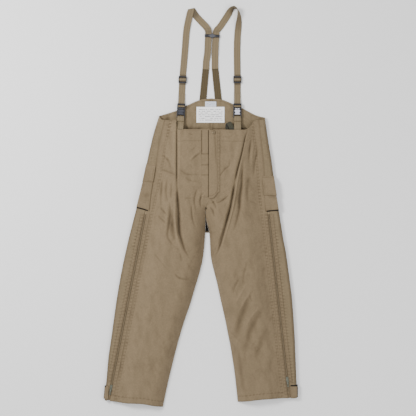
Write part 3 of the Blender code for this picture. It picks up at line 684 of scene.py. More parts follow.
def cloth_material(name, base, crease=0.80):
    """Matt cotton twill: a diagonal weave, a heathered grain, painted shade in creases, painted highlight on
    ridges.
    """
    look = Nodes(name, base, 0.9, sheen=0.05, specular=0.18)
    mottle = look.noise(11.0, 3.0)
    tone = look.ramp(mottle, 0.3, 0.72, shade_of(base, 0.88), shade_of(base, 1.10))
    warm = look.noise(26.0, 2.0)
    tone = look.mix(
        look.math("MULTIPLY", warm, 0.32), tone, (base[0] * 1.06, base[1] * 0.98, base[2] * 1.02)
    )
    rumple = look.noise(62.0, 3.0, look.scaled(1.0, 0.6, 1.0))
    tone = blotched(look, tone, base, 0.55, rumple, 0.30, 0.70, 0.84, 1.14)
    speckle = look.noise(170.0, 2.0)
    tone = blotched(look, tone, base, 0.30, speckle, 0.32, 0.68, 0.74, 1.24)
    grain = look.noise(330.0, 2.0, look.scaled(1.0, 0.7, 1.0))
    tone = blotched(look, tone, base, 0.16, grain, 0.35, 0.68, 0.72, 1.26)
    yarn = look.noise(1500.0, 1.0, look.scaled(1.0, 0.4, 1.0))
    tone = blotched(look, tone, base, 0.10, yarn, 0.35, 0.65, 0.7, 1.3)
    # Painted shade: the colour darkens towards a fifth of the base as the crease value rises.
    painted_crease_shade = look.math("MULTIPLY", look.math("MAXIMUM", look.attribute("crease"), 0.0), crease)
    tone = look.mix(painted_crease_shade, tone, (base[0] * 0.20, base[1] * 0.17, base[2] * 0.13))
    # Painted highlight: where the crease value is below 0, on ridges and pucker crests, the colour pales
    # towards 1.42 times the base.
    high = look.math(
        "MULTIPLY", look.math("MAXIMUM", look.math("MULTIPLY", look.attribute("crease"), -1.0), 0.0), 0.55
    )
    tone = look.mix(high, tone, shade_of(base, 1.42))
    look.colour(paint_gap_shadow_black(look, tone))
    twill = look.waves(330.0, look.scaled(1, 1, 1, rotation=0.9), distortion=0.6)
    height = look.math("ADD", look.math("MULTIPLY", twill, 0.5), look.math("MULTIPLY", grain, 0.8))
    height = look.math("ADD", height, look.math("MULTIPLY", rumple, 3.0))
    look.bump(height, 0.5, 0.00045)
    look.rough(look.ramp(grain, 0.3, 0.7, grey(0.8), grey(0.96)))
    return look.material


def webbing_material(name, base, ribs, rib_depth=0.5, uv="weave"):
    """Ribbed narrow webbing. Its UV map runs 0 to 1 across the strap and in metres along it."""
    look = Nodes(name, base, 0.82, sheen=0.1)
    where = look.node("ShaderNodeUVMap", uv_map=uv).outputs["UV"]
    across = look.waves(ribs / 20.0 * math.pi, look.scaled(1, 0, 0, source=where), direction="X")
    picks = look.waves(40.0, look.scaled(0, 1, 0, source=where), direction="Y")
    grain = look.noise(380.0, 2.0)
    tone = look.ramp(
        across, 0.1, 0.9, shade_of(base, 1 - 0.30 * rib_depth), shade_of(base, 1 + 0.16 * rib_depth)
    )
    tone = blotched(look, tone, base, 0.30, grain, 0.3, 0.7, 0.72, 1.25)
    tone = look.mix(look.math("MULTIPLY", look.noise(20.0, 2.0), 0.25), tone, shade_of(base, 0.82))
    # Painted shade from the crease value, down to a fifth of the base colour; painted black beyond about 1.
    painted_crease_shade = look.math("MULTIPLY", look.math("MAXIMUM", look.attribute("crease"), 0.0), 0.7)
    tone = look.mix(painted_crease_shade, tone, shade_of(base, 0.2))
    look.colour(paint_gap_shadow_black(look, tone))
    height = look.math("ADD", across, look.math("MULTIPLY", picks, 0.5))
    look.bump(height, 0.5, 0.0004)
    look.rough(look.ramp(grain, 0.3, 0.7, grey(0.72), grey(0.92)))
    return look.material


def plastic_material(name, base, roughness, scuff):
    """Moulded acetal: fine pebbling, with paler scuffs on what stands out."""
    look = Nodes(name, base, roughness, coat=0.03, specular=0.28)
    wear = look.noise(160.0, 4.0)
    worn = look.node("ShaderNodeNewGeometry").outputs["Pointiness"]
    edge = look.ramp(worn, 0.5, 0.56, BLACK, WHITE)
    look.colour(look.mix(look.math("MULTIPLY", look.math("MULTIPLY", edge, wear), 0.7), base, scuff))
    look.rough(look.ramp(wear, 0.3, 0.75, (roughness * 0.7,) * 3, (min(roughness * 1.5, 1.0),) * 3))
    look.bump(look.noise(2600.0, 2.0), 0.15, 0.0002)
    return look.material


def metal_material(name, base, worn_tone):
    """Enamelled zinc whose paint is worn off in spots."""
    look = Nodes(name, base, 0.42, metallic=0.65)
    spots = look.noise(420.0, 4.0)
    look.colour(look.mix(look.ramp(spots, 0.48, 0.66, BLACK, WHITE), base, worn_tone))
    look.rough(look.ramp(spots, 0.35, 0.7, grey(0.5), grey(0.28)))
    look.bump(spots, 0.2, 0.0001)
    return look.material


def label_material(name, base, ink, rows, uv="print"):
    """Woven label stock, with blurred grey rules where a label has its small print."""
    look = Nodes(name, base, 0.72)
    where = look.node("ShaderNodeUVMap", uv_map=uv).outputs["UV"]
    parts = look.node("ShaderNodeSeparateXYZ")
    look.link(where, parts.inputs[0])
    u, v = parts.outputs[0], parts.outputs[1]
    band = look.waves(rows * 0.314, look.scaled(0, 1, 0, source=where), direction="Y")
    band = look.ramp(band, 0.52, 0.75, BLACK, WHITE)
    words = look.noise(1.0, 2.0, look.scaled(26.0, rows * 1.0, 1.0, source=where))
    words = look.ramp(words, 0.42, 0.52, BLACK, WHITE)
    inside = look.math("MULTIPLY", margin(look, u, 0.07, 0.93), margin(look, v, 0.10, 0.88))
    ink_amount = look.math(
        "MULTIPLY", look.math("MULTIPLY", band, words), look.math("MULTIPLY", inside, 0.9)
    )
    weave = look.noise(900.0, 1.0)
    tone = look.mix(0.10, base, look.ramp(weave, 0.3, 0.7, shade_of(base, 0.85), (1, 1, 1)))
    look.colour(look.mix(ink_amount, tone, ink))
    look.bump(weave, 0.3, 0.0002)
    look.rough(look.ramp(weave, 0.3, 0.7, grey(0.62), grey(0.82)))
    return look.material


def margin(look, value, low, high):
    above = look.math("GREATER_THAN", value, low)
    below = look.math("LESS_THAN", value, high)
    return look.math("MULTIPLY", above, below)


# Pale plates for the left buckle: a painted reflection on its glossy black face.
REFLECTION_PANEL_LOOK = plastic_material("painted_reflection_panel", (0.52, 0.51, 0.58), 0.5, (0.72, 0.72, 0.78))
DARK_PANEL_LOOK = plastic_material("dark_panel", (0.024, 0.026, 0.034), 0.5, (0.10, 0.10, 0.12))
KHAKI = (0.191, 0.142, 0.084)
TAN = (0.170, 0.126, 0.067)
OLIVE_BROWN = (0.072, 0.050, 0.017)
CLOTH_LOOK = cloth_material("khaki_twill", KHAKI)
BACK_LOOK = cloth_material("khaki_twill_inside", (0.190, 0.1435, 0.084))
WEB_LOOK = webbing_material("tan_webbing", TAN, ribs=5)
ELASTIC_LOOK = webbing_material("olive_elastic", OLIVE_BROWN, ribs=8, rib_depth=1.2)
GREEN_LOOK = webbing_material("green_webbing", (0.030, 0.028, 0.013), ribs=5)
PLASTIC_LOOK = plastic_material("black_acetal", (0.006, 0.006, 0.008), 0.5, (0.07, 0.07, 0.08))
METAL_LOOK = metal_material("grey_green_enamel", (0.105, 0.109, 0.082), (0.24, 0.24, 0.195))
CAP_LOOK = metal_material("khaki_enamel", (0.155, 0.113, 0.063), (0.22, 0.18, 0.12))
DIAMOND_LOOK = plastic_material("grey_acetal", (0.052, 0.054, 0.063), 0.5, (0.14, 0.14, 0.16))
# The tape is painted paler than the cloth, as painted light against the shade of its trough between the
# welts.
TAPE_LOOK = cloth_material("zip_tape", (0.250, 0.188, 0.114))
TEETH_LOOK = plastic_material("khaki_teeth", (0.150, 0.111, 0.064), 0.6, (0.21, 0.16, 0.10))
LABEL_LOOK = label_material("white_label", (0.985, 0.98, 0.975), (0.24, 0.235, 0.245), 9)
SMALL_LABEL_LOOK = label_material("grey_label", (0.66, 0.69, 0.76), (0.16, 0.19, 0.27), 4)
THREAD_LOOK = cloth_material("khaki_thread", (0.150, 0.112, 0.068))


# The garment's shell


def front_surface(leg, x, y):
    """Height of the top of the front's cloth, and its crease value, at every point."""
    away = np.abs(x - leg.seam(y))
    from_inner = np.abs(leg.inner(y) - x)
    lift, shade = relief(x, y)
    near_zip = ease((away - 0.008) / 0.020)
    near_inseam = np.where(y < 0.02, ease((from_inner - 0.001) / 0.022), ease((from_inner - 0.016) / 0.02))
    lift = lift * near_zip * near_inseam
    seams = seam_relief(leg, away, from_inner, x, y)
    z = leg.front_height(x, y) + lift + seams[0]
    shade = shade * near_zip + seams[1] + closed_seam(away, y)
    return np.maximum(z, 0.0036) + CLOTH / 2, np.clip(shade, -0.6, DARKEST)


def closed_seam(away, y):
    """How dark the seam above the zip is."""
    return 0.42 * bell(away, 0.0014) * ease((y - ZIP_HIGH - 0.012) / 0.01)


def seam_relief(leg, away, from_inner, x, y):
    """Stitched rows, their puckers, the turned hem and the waist facing's stitches."""
    lift, shade = np.zeros(x.shape), np.zeros(x.shape)
    seed = 5.0 if leg.side == "right" else 8.0
    for row in SEAM_ROWS:
        groove = bell(away - row, 0.0013)
        lift -= 0.5 * MM * groove
        shade += 0.26 * groove
    gathers = puckers(y, away - np.mean(SEAM_ROWS), 0.0125, seed)
    lift += 0.9 * MM * gathers
    shade += 0.44 * np.clip(-gathers, -1, 1)
    above_hem = y - leg.hem(x)
    hem_row = bell(above_hem - HEM_ROW, 0.0014)
    lift += 0.5 * MM * ease((0.0250 - above_hem) / 0.002) - 0.5 * MM * hem_row
    gathers = puckers(x, above_hem - HEM_ROW, 0.0145, seed + 1)
    lift += 0.6 * MM * gathers
    shade += 0.42 * hem_row + 0.24 * np.clip(-gathers, -0.5, 1) + 0.4 * ease(1 - above_hem / 0.004)
    edge_droop = ease(1 - above_hem / 0.006)
    lift -= 1.6 * MM * edge_droop
    below_top = leg.front_top(x) - y
    waist_row = bell(below_top - WAIST_ROW, 0.0012) * (from_inner > 0.008) * ease((away - 0.03) / 0.02)
    lift -= 0.5 * MM * waist_row
    shade += 0.36 * waist_row
    top_row = bell(below_top - TOP_ROW, 0.0011)
    lift += -0.35 * MM * top_row - 1.0 * MM * ease(1 - below_top / 0.0035)
    shade += 0.18 * top_row
    return lift, shade


PLEAT_X, PLEAT_SHARE = -0.0965, 0.12


def front(leg):
    def fixed(distance):
        return lambda y: leg.seam(y) + leg.inward * distance

    def share(s):
        """The columns from the stitched rows to the inner edge. One runs along the right leg's pleat."""

        def column(y):
            start = leg.seam(y) + leg.inward * 0.0345
            pleat = start + (leg.inner(y) - start) * PLEAT_SHARE
            if leg.side == "right":
                pleat = pleat + (PLEAT_X - pleat) * ease((y - 0.05) / 0.15)
            outer_part = start + (pleat - start) * (s / PLEAT_SHARE)
            inner_part = pleat + (leg.inner(y) - pleat) * (s - PLEAT_SHARE) / (1 - PLEAT_SHARE)
            return outer_part if s < PLEAT_SHARE else inner_part

        return column

    columns = [lambda y: leg.seam(y) + leg.inward * leg.mouth(y)]
    columns += [
        fixed(d * MM)
        for d in (8.5, 12, 15, 18, 20.5, 22.5, 23.2, 24, 24.8, 25.6, 27, 28.4, 29.2, 30, 30.8, 32)
    ]
    columns += [share(s) for s in np.concatenate([np.linspace(0, 0.99, 104), [1.0]])]
    rows = np.concatenate(
        [
            np.linspace(HEM, HEM + 0.032, 26),
            np.linspace(HEM + 0.032, TOP - 0.056, 380)[1:],
            np.linspace(TOP - 0.056, TOP, 34)[1:],
        ]
    )
    x, y = leg.grid(columns, rows, leg.front_top)
    z, shade = front_surface(leg, x, y)
    cloth = shell(f"{leg.side}_front_cloth", x, y, z, CLOTH, CLOTH_LOOK, shade)
    under, area = [f"{leg.side}_back_cloth"], leg.own(FRONT_AREAS)
    sewn(cloth, "garment", f"{leg.side}_front_panel", flat=FRONT_FLAT, on=under, area=area)


BEND = ((0.0100, SHELF - 0.0004), (0.0036, 0.0146), (0.0012, 0.0090), (0.0036, 0.0036), (0.0100, 0.0010))


def back_middle(leg, y):
    seam = 0.0431 if leg.side == "right" else 0.0430
    return leg.inner(y) + (seam - leg.inner(y)) * ease((y + 0.005) / 0.06)


def opening_shade(x, y):
    """How dark the back's inside is down in the waist's opening, beside the front's top edge."""
    corner = np.exp(-(((x + 0.137) / 0.014) ** 2) - (((y - 0.3545 - 0.10 * (x + 0.137)) / 0.0060) ** 2))
    behind_right = ease((0.3260 - y) / 0.016) * ease((x + 0.066) / 0.010) * ease((0.012 - x) / 0.020)
    behind_left = ease((0.3172 - y) / 0.0034) * ease((x - 0.046) / 0.006)
    lens = np.exp(-(((x - 0.241) / 0.013) ** 2) - (((y - 0.3500) / 0.0030) ** 2))
    return 0.62 * corner + 0.75 * behind_right + 0.95 * behind_left + 0.8 * lens


def back(leg):
    """The back: from the zip over the outer edge, and round under the garment to its middle seam."""
    bend = smooth_path([(inset, z, 0.0) for inset, z in BEND], 0.0016)
    rows = np.concatenate([np.linspace(HEM, HEM + 0.032, 14), np.linspace(HEM + 0.032, TOP, 300)[1:]])
    edge = lambda y: leg.seam(y) - leg.inward * leg.mouth(y)
    shelf_end = lambda y: leg.outer(y) + leg.inward * bend[0][0]
    shelf_x, shelf_y = leg.grid(
        [between(edge, shelf_end, s) for s in np.linspace(0, 0.96, 13)], rows, leg.front_top
    )
    top_z, shade = shelf_surface(leg, shelf_x, shelf_y)
    lift = top_z - SHELF - CLOTH / 2
    parts = [(shelf_x, shelf_y, top_z - CLOTH / 2, shade)]
    for i, (inset, z, _) in enumerate(bend):
        top = leg.front_top if i < len(bend) * 0.4 else leg.back_top
        x, y = leg.grid([lambda y, inset=inset: leg.outer(y) + leg.inward * inset], rows, top)
        wobble = 0.5 * MM * soft_noise(y * 0.3, y, 0.02, 0.035, 47.0) * np.clip(z / SHELF, 0, 1)
        rise = BACK_LIFT(y) - 0.001 if i > len(bend) * 0.5 else np.zeros(y.shape)
        height = np.full(x.shape, z) + rise + (lift[:, -1:] * max(0.0, 1 - 2.5 * i / len(bend)))
        # Painted shade on the outer bend, darker further down it and fading out towards the waist.
        dark = (0.25 + 0.45 * ease((SHELF - z) / 0.006)) * (1 - 0.8 * ease((y - 0.315) / 0.02))
        parts.append((x + leg.inward * np.abs(wobble), y, height, dark))
    floor_start = lambda y: leg.outer(y) + leg.inward * bend[-1][0]
    middle = lambda y: back_middle(leg, y)
    x, y = leg.grid(
        [between(floor_start, middle, s) for s in np.linspace(0, 1, 40)[1:]], rows, leg.back_top
    )
    crumple = 0.5 * MM + 0.5 * MM * soft_noise(x, y, 0.03, 0.06, 23.0)
    below_top = leg.back_top(x) - y
    stitched = bell(below_top - 0.008, 0.0012)
    from_middle = np.abs(x - middle(y))
    seam_row = bell(from_middle - 0.005, 0.0013) * (y > 0.05)
    z = (
        BACK_LIFT(y)
        + np.clip(crumple, 0, None) * ease((from_middle - 0.004) / 0.02)
        - 0.3 * MM * (stitched + seam_row) * (y > 0.2)
    )
    # Painted shade in the stitch rows and wrinkles of the back's inside, and painted highlight on its
    # crumples.
    rumpled = (
        0.24 * np.clip(soft_noise(x, y, 0.014, 0.030, 29.0), -0.7, 1)
        + 0.14 * ease(1 - np.abs(soft_noise(x, y, 0.05, 0.02, 37.0)) / 0.2)
    )
    parts.append(
        (x, y, np.maximum(z, 0.001), 0.30 * stitched + 0.34 * seam_row + rumpled + opening_shade(x, y))
    )
    x, y, z, shade = (np.concatenate([part[k] for part in parts], axis=1) for k in range(4))
    cloth = shell(f"{leg.side}_back_cloth", x, y, z, CLOTH, BACK_LOOK, shade, offset=0.0, faces_up=False)
    area = leg.own(BACK_AREAS)
    sewn(cloth, "garment", f"{leg.side}_back_panel", flat=BACK_FLAT, held="folded", on=["floor"], area=area)


def between(a, b, s):
    return lambda y: a(y) + (b(y) - a(y)) * s


def shelf_surface(leg, x, y):
    """Height of the top of the side's cloth, outward of the zip, and its crease value."""
    away = np.abs(x - leg.seam(y))
    lift, shade = relief(x, y)
    gathers = puckers(y, (away - 0.0205) * 0.7, 0.0125, 31.0)
    groove = bell(away - 0.0190, 0.0016)
    below_pocket = ease((-0.02 - y) / 0.05) + 0.6 * ease((y - 0.17) / 0.03)
    lift = (
        lift * 0.35 * ease((away - 0.008) / 0.012)
        + (0.75 * MM * gathers - 0.35 * MM * groove) * below_pocket
    )
    shade = 0.5 * shade + (0.22 * groove + 0.55 * np.clip(-gathers, -1, 1)) * below_pocket + 0.02
    hem_row = bell(y - leg.hem(x) - HEM_ROW, 0.0016)
    return SHELF + lift - 0.4 * MM * hem_row + CLOTH / 2, shade + 0.3 * hem_row + closed_seam(away, y)


def outside(leg, x, y):
    """Height of the garment's outside at any point of one half."""
    x, y = np.asarray(x, float), np.asarray(y, float)
    on_front = (x - leg.seam(y)) * leg.inward > 0
    return np.where(on_front, front_surface(leg, x, y)[0], shelf_surface(leg, x, y)[0])


def declare(obj, nodes, slot="shell_cloth", flat=None, held="laid", on=(), area=None):
    """Hides the CAD nodes whose place obj takes. flat, a cloth piece's cut size, and on, what it lies on, are
    not used.
    """
    if nodes:
        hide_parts(*nodes)


def sewn(obj, body, *nodes, **declared):
    """obj moves with this body, and takes the place of its CAD nodes."""
    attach(obj, body)
    declare(obj, nodes, **declared)
    return obj


def mesh_grid(across, along):
    """x and y grids from positions across and along."""
    return np.meshgrid(np.asarray(across, float), np.asarray(along, float))


def facing(leg):
    """The strip inside the front waist."""
    x, y = mesh_grid(np.linspace(0, 1, 60), np.linspace(TOP - 0.046, TOP - 0.002, 14))
    start = leg.seam(y) + leg.inward * SHELF_WIDTH
    x = start + (leg.inner(y) - 0.003 * leg.inward - start) * x
    y = y + (leg.front_top(x) - TOP)
    z = front_surface(leg, x, y)[0] - CLOTH - 0.4 * MM
    strip = shell(f"{leg.side}_waist_strip", x, y, z, 1.0 * MM, BACK_LOOK)
    sewn(strip, "garment", f"{leg.side}_waist_facing", flat=WAIST_FLAT, on=[f"{leg.side}_front_cloth"])


def gusset():
    y = np.linspace(-0.104, -0.036, 24)
    low, high = RIGHT.inner(y) + 0.0016, LEFT.inner(y) - 0.0016
    share = np.linspace(0, 1, 6)
    x = low[:, None] + (high - low)[:, None] * share
    z = np.full(x.shape, 1.9 * MM)
    # Painted black above the wedge's lower end: the shadow down between the legs.
    shade = np.repeat(1.4 * ease((y + 0.106) / 0.010)[:, None], 6, axis=1)
    wedge = shell("crotch_wedge", x, np.repeat(y[:, None], 6, axis=1), z, CLOTH, BACK_LOOK, shade)
    sewn(wedge, "garment", "crotch_gusset", flat=WEDGE_FLAT, on=["floor"])


# Fly

FLAP_BULGE = through(
    (0.0315, 0.0408), (0.037, 0.0413), (0.043, 0.0415), (0.05, 0.0414), (0.06, 0.0408), (0.070, 0.0384)
)


def underlap_top(x, y):
    return front_surface(RIGHT, x, y)[0] + 0.4 * MM + TRIM


def flap_top(x, y):
    on_cloth = front_surface(LEFT, x, y)[0] + 0.4 * MM
    soft = 0.35 * MM * soft_noise(x, y, 0.02, 0.05, 61.0)
    return np.maximum(on_cloth, FLAP_BULGE(x) - TRIM / 2 + soft * (x < 0.066)) + TRIM


def fly():
    x, y = mesh_grid(np.linspace(0.0030, 0.0358, 18), np.linspace(0.040, FLY_TOP, 130))
    # Painted shadow beside the flap's free edge and along the strip's upper edge, and painted shade on its
    # stitch rows.
    beside_flap = ease((x - 0.0290) / 0.0016) * (1.15 + 0.25 * ease((y - 0.20) / 0.02))
    upper_edge = 1.0 * ease((0.0060 - x) / 0.0018) * ease((y - 0.205) / 0.01)
    shade = beside_flap + upper_edge + 0.15 * ease((0.0050 - x) / 0.0015)
    for line_y in UNDERLAP_ROWS:
        shade += 0.60 * bell(y - line_y, 0.0018) * (x < 0.031)
    z = underlap_top(x, y) + 0.25 * MM * np.cos(y / 0.0145 * 2 * np.pi) * bell(x - 0.008, 0.004)
    strip = shell("fly_under_strip", x, y, z, TRIM, CLOTH_LOOK, shade)
    sewn(strip, "garment", "fly_underlap", flat=UNDERLAP_FLAT, on=["right_front_cloth"])

    x, y = mesh_grid(np.linspace(0.0318, 0.0765, 34), np.linspace(0, 1, 150))
    low = 0.0345 + 0.026 * ease((x - 0.045) / 0.031)
    y = low + (FLY_TOP - low) * y
    row_a, row_b = (bell(x - at, 0.0011) for at in FLAP_ROWS)
    curve = (
        bell(np.hypot(x - FLAP_CURVE_X, y - FLAP_CURVE_Y) - FLAP_CURVE_RADIUS, 0.0013) * (y < FLAP_CURVE_Y)
    )
    rows = np.clip(row_a * (y > FLAP_CURVE_Y) + row_b + curve, 0, 1)
    free_edge = bell(x - 0.0318, 0.0012)
    fold = bell(x - 0.0585 + 0.05 * (y - 0.25), 0.0035) * ease((y - 0.14) / 0.08)
    gathers = puckers(y, x - 0.0717, 0.0150, 71.0)
    z = flap_top(x, y) - 0.35 * MM * rows - 0.7 * MM * fold + 0.3 * MM * gathers
    shade = 0.36 * rows + 0.95 * free_edge + 0.38 * fold + 0.20 * np.clip(-gathers, -1, 1)
    flap = shell("fly_cover_cloth", x, y, z, TRIM, CLOTH_LOOK, shade)
    sewn(flap, "fly_cover", "fly_flap", flat=FLY_FLAP_FLAT, on=["left_front_cloth"])


# Zips


def replicated(name, centres, directions, size, look):
    """Many small blocks in one mesh: each at its centre, its length along its direction."""
    length, width, height = size
    corner = np.array([(i, j, k) for i in (-0.5, 0.5) for j in (-0.5, 0.5) for k in (-0.5, 0.5)])
    faces = np.array([(0, 1, 3, 2), (4, 6, 7, 5), (0, 4, 5, 1), (2, 3, 7, 6), (0, 2, 6, 4), (1, 5, 7, 3)])
    points, all_faces = [], []
    for i, ((x, y, z), (dx, dy)) in enumerate(zip(centres, directions)):
        along = corner[:, 0] * length
        across = corner[:, 1] * width
        points.append(
            np.stack(
                [x + along * dx - across * dy, y + along * dy + across * dx, z + corner[:, 2] * height],
                axis=1,
            )
        )
        all_faces.append(faces + 8 * i)
    return new_object(name, np.concatenate(points), np.concatenate(all_faces), look, smooth=False)


def zip_chain(name, low, high, panel_height, first_tooth=0.005, tape_less=0.0, tape_more=0.0):
    """The tape and its two rows of teeth, which lock together."""
    (ax, ay), (bx, by) = low, high
    length = math.dist(low, high)
    dx, dy = (bx - ax) / length, (by - ay) / length
    tape_top = panel_height - 0.0016
    across, along = mesh_grid(
        np.linspace(-0.0068, 0.0068, 9), np.arange(-tape_less, length + tape_more, 0.006)
    )
    x, y = ax + along * dx + across * dy, ay + along * dy - across * dx
    shade = (
        0.48 * bell(np.abs(across) - 0.0036, 0.0014) + 0.42 * ease((first_tooth - 0.001 - along) / 0.004)
    )
    z = np.full(x.shape, tape_top)
    tape = shell(f"{name}_tape", x, y, z, 0.9 * MM, TAPE_LOOK, shade)
    size = (0.0136, round(float(along[-1, 0] - along[0, 0]), 3))
    sewn(tape, "garment", f"{name}_zip_tape", flat=size, held="stretched")
    steps = np.arange(first_tooth, length - 0.005, 0.0013)
    sides = np.where(np.arange(len(steps)) % 2 == 0, 1.0, -1.0) * 0.0008
    centres = np.stack(
        [
            ax + steps * dx + sides * dy,
            ay + steps * dy - sides * dx,
            np.full(len(steps), tape_top + 0.0012),
        ],
        axis=1,
    )
    teeth = replicated(
        f"{name}_teeth", centres, [(dx, dy)] * len(steps), (0.9 * MM, 3.4 * MM, 2.0 * MM), TEETH_LOOK
    )
    sewn(teeth, "garment", f"{name}_zip_teeth", slot="zip_teeth")


def welts(leg):
    """The stitched strips on both sides of the zip, drawn up a little by their thread."""
    for name, inward, low_y in (("front", leg.inward, -0.752), ("back", -leg.inward, -0.700)):
        share, y = mesh_grid(np.linspace(0, 1, 10), np.linspace(low_y, ZIP_HIGH - 0.004, 240))
        near = leg.zip_x(y) + inward * 0.0054
        far = leg.zip_x(y) + inward * 0.0180
        if inward != leg.inward:
            limit = leg.outer(y) + leg.inward * 0.0085
            far = np.minimum(far, limit) if leg.inward < 0 else np.maximum(far, limit)
        x = near + (far - near) * share
        away = np.abs(x - leg.zip_x(y))
        gathers = puckers(y, away - 0.0115, 0.0128, 83.0 + inward)
        groove = bell(away - WELT_ROW, 0.0010)
        z = (
            np.maximum(outside(leg, x, y) + 0.3 * MM, SHELF + CLOTH / 2 + 0.4 * MM)
            + 0.9 * MM
            + 0.45 * MM * gathers
        )
        z = z + 0.25 * MM * gathers - 0.3 * MM * groove - 0.9 * MM * ease(1 - share / 0.25)
        shade = 0.38 * np.clip(-gathers, -1, 1) + 0.16 * groove + 0.20 * ease((share - 0.88) / 0.1) + 0.14
        piece = shell(f"{leg.side}_zip_border_{name}", x, y, z, 1.0 * MM, CLOTH_LOOK, shade)
        size = BORDER_FLATS[name]
        sewn(piece, "garment", f"{leg.side}_zip_welt_{name}", flat=size, on=[f"{leg.side}_{name}_cloth"])


# Pockets and cuff tabs


def pocket(leg, bottom, slant, top, outer_inset, inner_low, inner_high, flap_low, flap_high):
    """A bellows pocket on the side, open at its upper end under its flap."""
    floor = SHELF + CLOTH / 2 + 0.2 * MM
    height = 7.2 * MM

    def inner(y):
        return inner_low + (inner_high - inner_low) * (y - bottom) / (top - bottom)

    def spread_rows(ys, share, beyond=0.0):
        outer = leg.outer(ys) + leg.inward * (outer_inset - beyond)
        return outer + (inner(ys) + leg.inward * beyond - outer) * share

    wall = (0.0, 0.0, 0.012, 0.03, 0.06)
    share = np.concatenate([wall, np.linspace(0.09, 0.91, 22), 1 - np.array(wall[::-1])])
    climb = np.concatenate(
        [(0, 0.55, 0.86, 0.97, 1.0), np.linspace(1.0, 0.26, 22), (0.23, 0.19, 0.14, 0.08, 0)]
    )
    ys = np.concatenate(
        [bottom + np.array((0.0, 0.0020, 0.0040, 0.0060, 0.0072)), np.linspace(bottom + 0.009, top, 44)]
    )
    rise = np.concatenate([(0, 0.10, 0.30, 0.72, 0.95), np.ones(44)])
    s, y = mesh_grid(share, ys)
    x = spread_rows(y, s)
    y = y - slant * s * ease((bottom + 0.05 - y) / 0.05)
    sag = 0.9 * MM * soft_noise(x, y, 0.022, 0.03, 91.0)
    full = climb[None, :] * rise[:, None]
    z = floor + 0.2 * MM + full * (height - 1.0 * MM + np.minimum(sag, 0.6 * MM))
    # Painted black shadow under the bag's raised lower edge, and painted shade along its inner side and in
    # its sags.
    slit_shadow = (
        np.repeat((1 - rise)[:, None], len(share), axis=1) * ease((1 - s) / 0.10) * ease((s + 0.03) / 0.08)
    )
    shade = (
        1.45 * ease((slit_shadow - 0.30 - 0.34 * s) / 0.25)
        + 0.30 * bell(s - 0.985, 0.02)
        + 0.35 * np.clip(-sag / MM, 0, 1)
    )
    for at in (0.030, 0.0225):
        line = bell(y - bottom - at, 0.0012) * ease(np.minimum(s, 1 - s) / 0.06)
        z, shade = z - 0.3 * MM * line, shade + 0.22 * line
    bag = shell(f"{leg.side}_pocket_bag", x, y, z, 1.0 * MM, CLOTH_LOOK, np.clip(shade, 0, DARKEST))
    size = leg.own(BAG_FLATS)
    sewn(bag, "garment", f"{leg.side}_pocket", flat=size, on=[f"{leg.side}_back_cloth"])

    over = floor + height + 1.0 * MM
    ys = np.concatenate([np.linspace(flap_low, top - 0.001, 26), np.linspace(top, flap_high, 22)[1:]])
    level = np.interp(
        ys,
        (flap_low, top + 0.001, top + 0.005, top + 0.0125, flap_high),
        (over, over, over - 0.8 * MM, floor + 1.3 * MM, floor + 1.3 * MM),
    )
    s, y = mesh_grid(np.linspace(0, 1, 22), ys)
    x = spread_rows(y, s, 0.0015)
    edge = np.minimum(np.minimum(s, 1 - s) * np.abs(inner(y) - leg.outer(y)), y - flap_low)
    line = bell(edge - 0.0055, 0.0011) * (y < top)
    seam = bell(y - flap_high + 0.005, 0.0012)
    wave = 0.7 * MM * soft_noise(x, y, 0.018, 0.022, 97.0) * (y < top)
    share_down = np.clip((level - floor - 1.3 * MM) / (over - floor - 1.3 * MM), 0, 1)[:, None]
    z = level[:, None] - 4.4 * MM * s * share_down + np.clip(wave, -0.2 * MM, 1) - 0.3 * MM * (line + seam)
    ground = outside(leg, x, y) + 1.5 * MM
    z = np.maximum(z, ground)
    side_border = bell(np.minimum(s, 1 - s) * 0.035, 0.0012) * (y < top + 0.005)
    shade = (
        0.34 * (line + seam)
        + 0.22 * side_border
        + 0.75 * bell(y - flap_low, 0.0013)
        + 0.2 * np.clip(-wave / MM, 0, 1)
    )
    flap = shell(f"{leg.side}_pocket_flap_cloth", x, y, z, TRIM, CLOTH_LOOK, shade)
    size = leg.own(POCKET_FLAP_FLATS)
    sewn(
        flap,
        f"{leg.side}_pocket_cover",
        f"{leg.side}_pocket_flap",
        flat=size,
        on=[f"{leg.side}_pocket_bag"],
    )


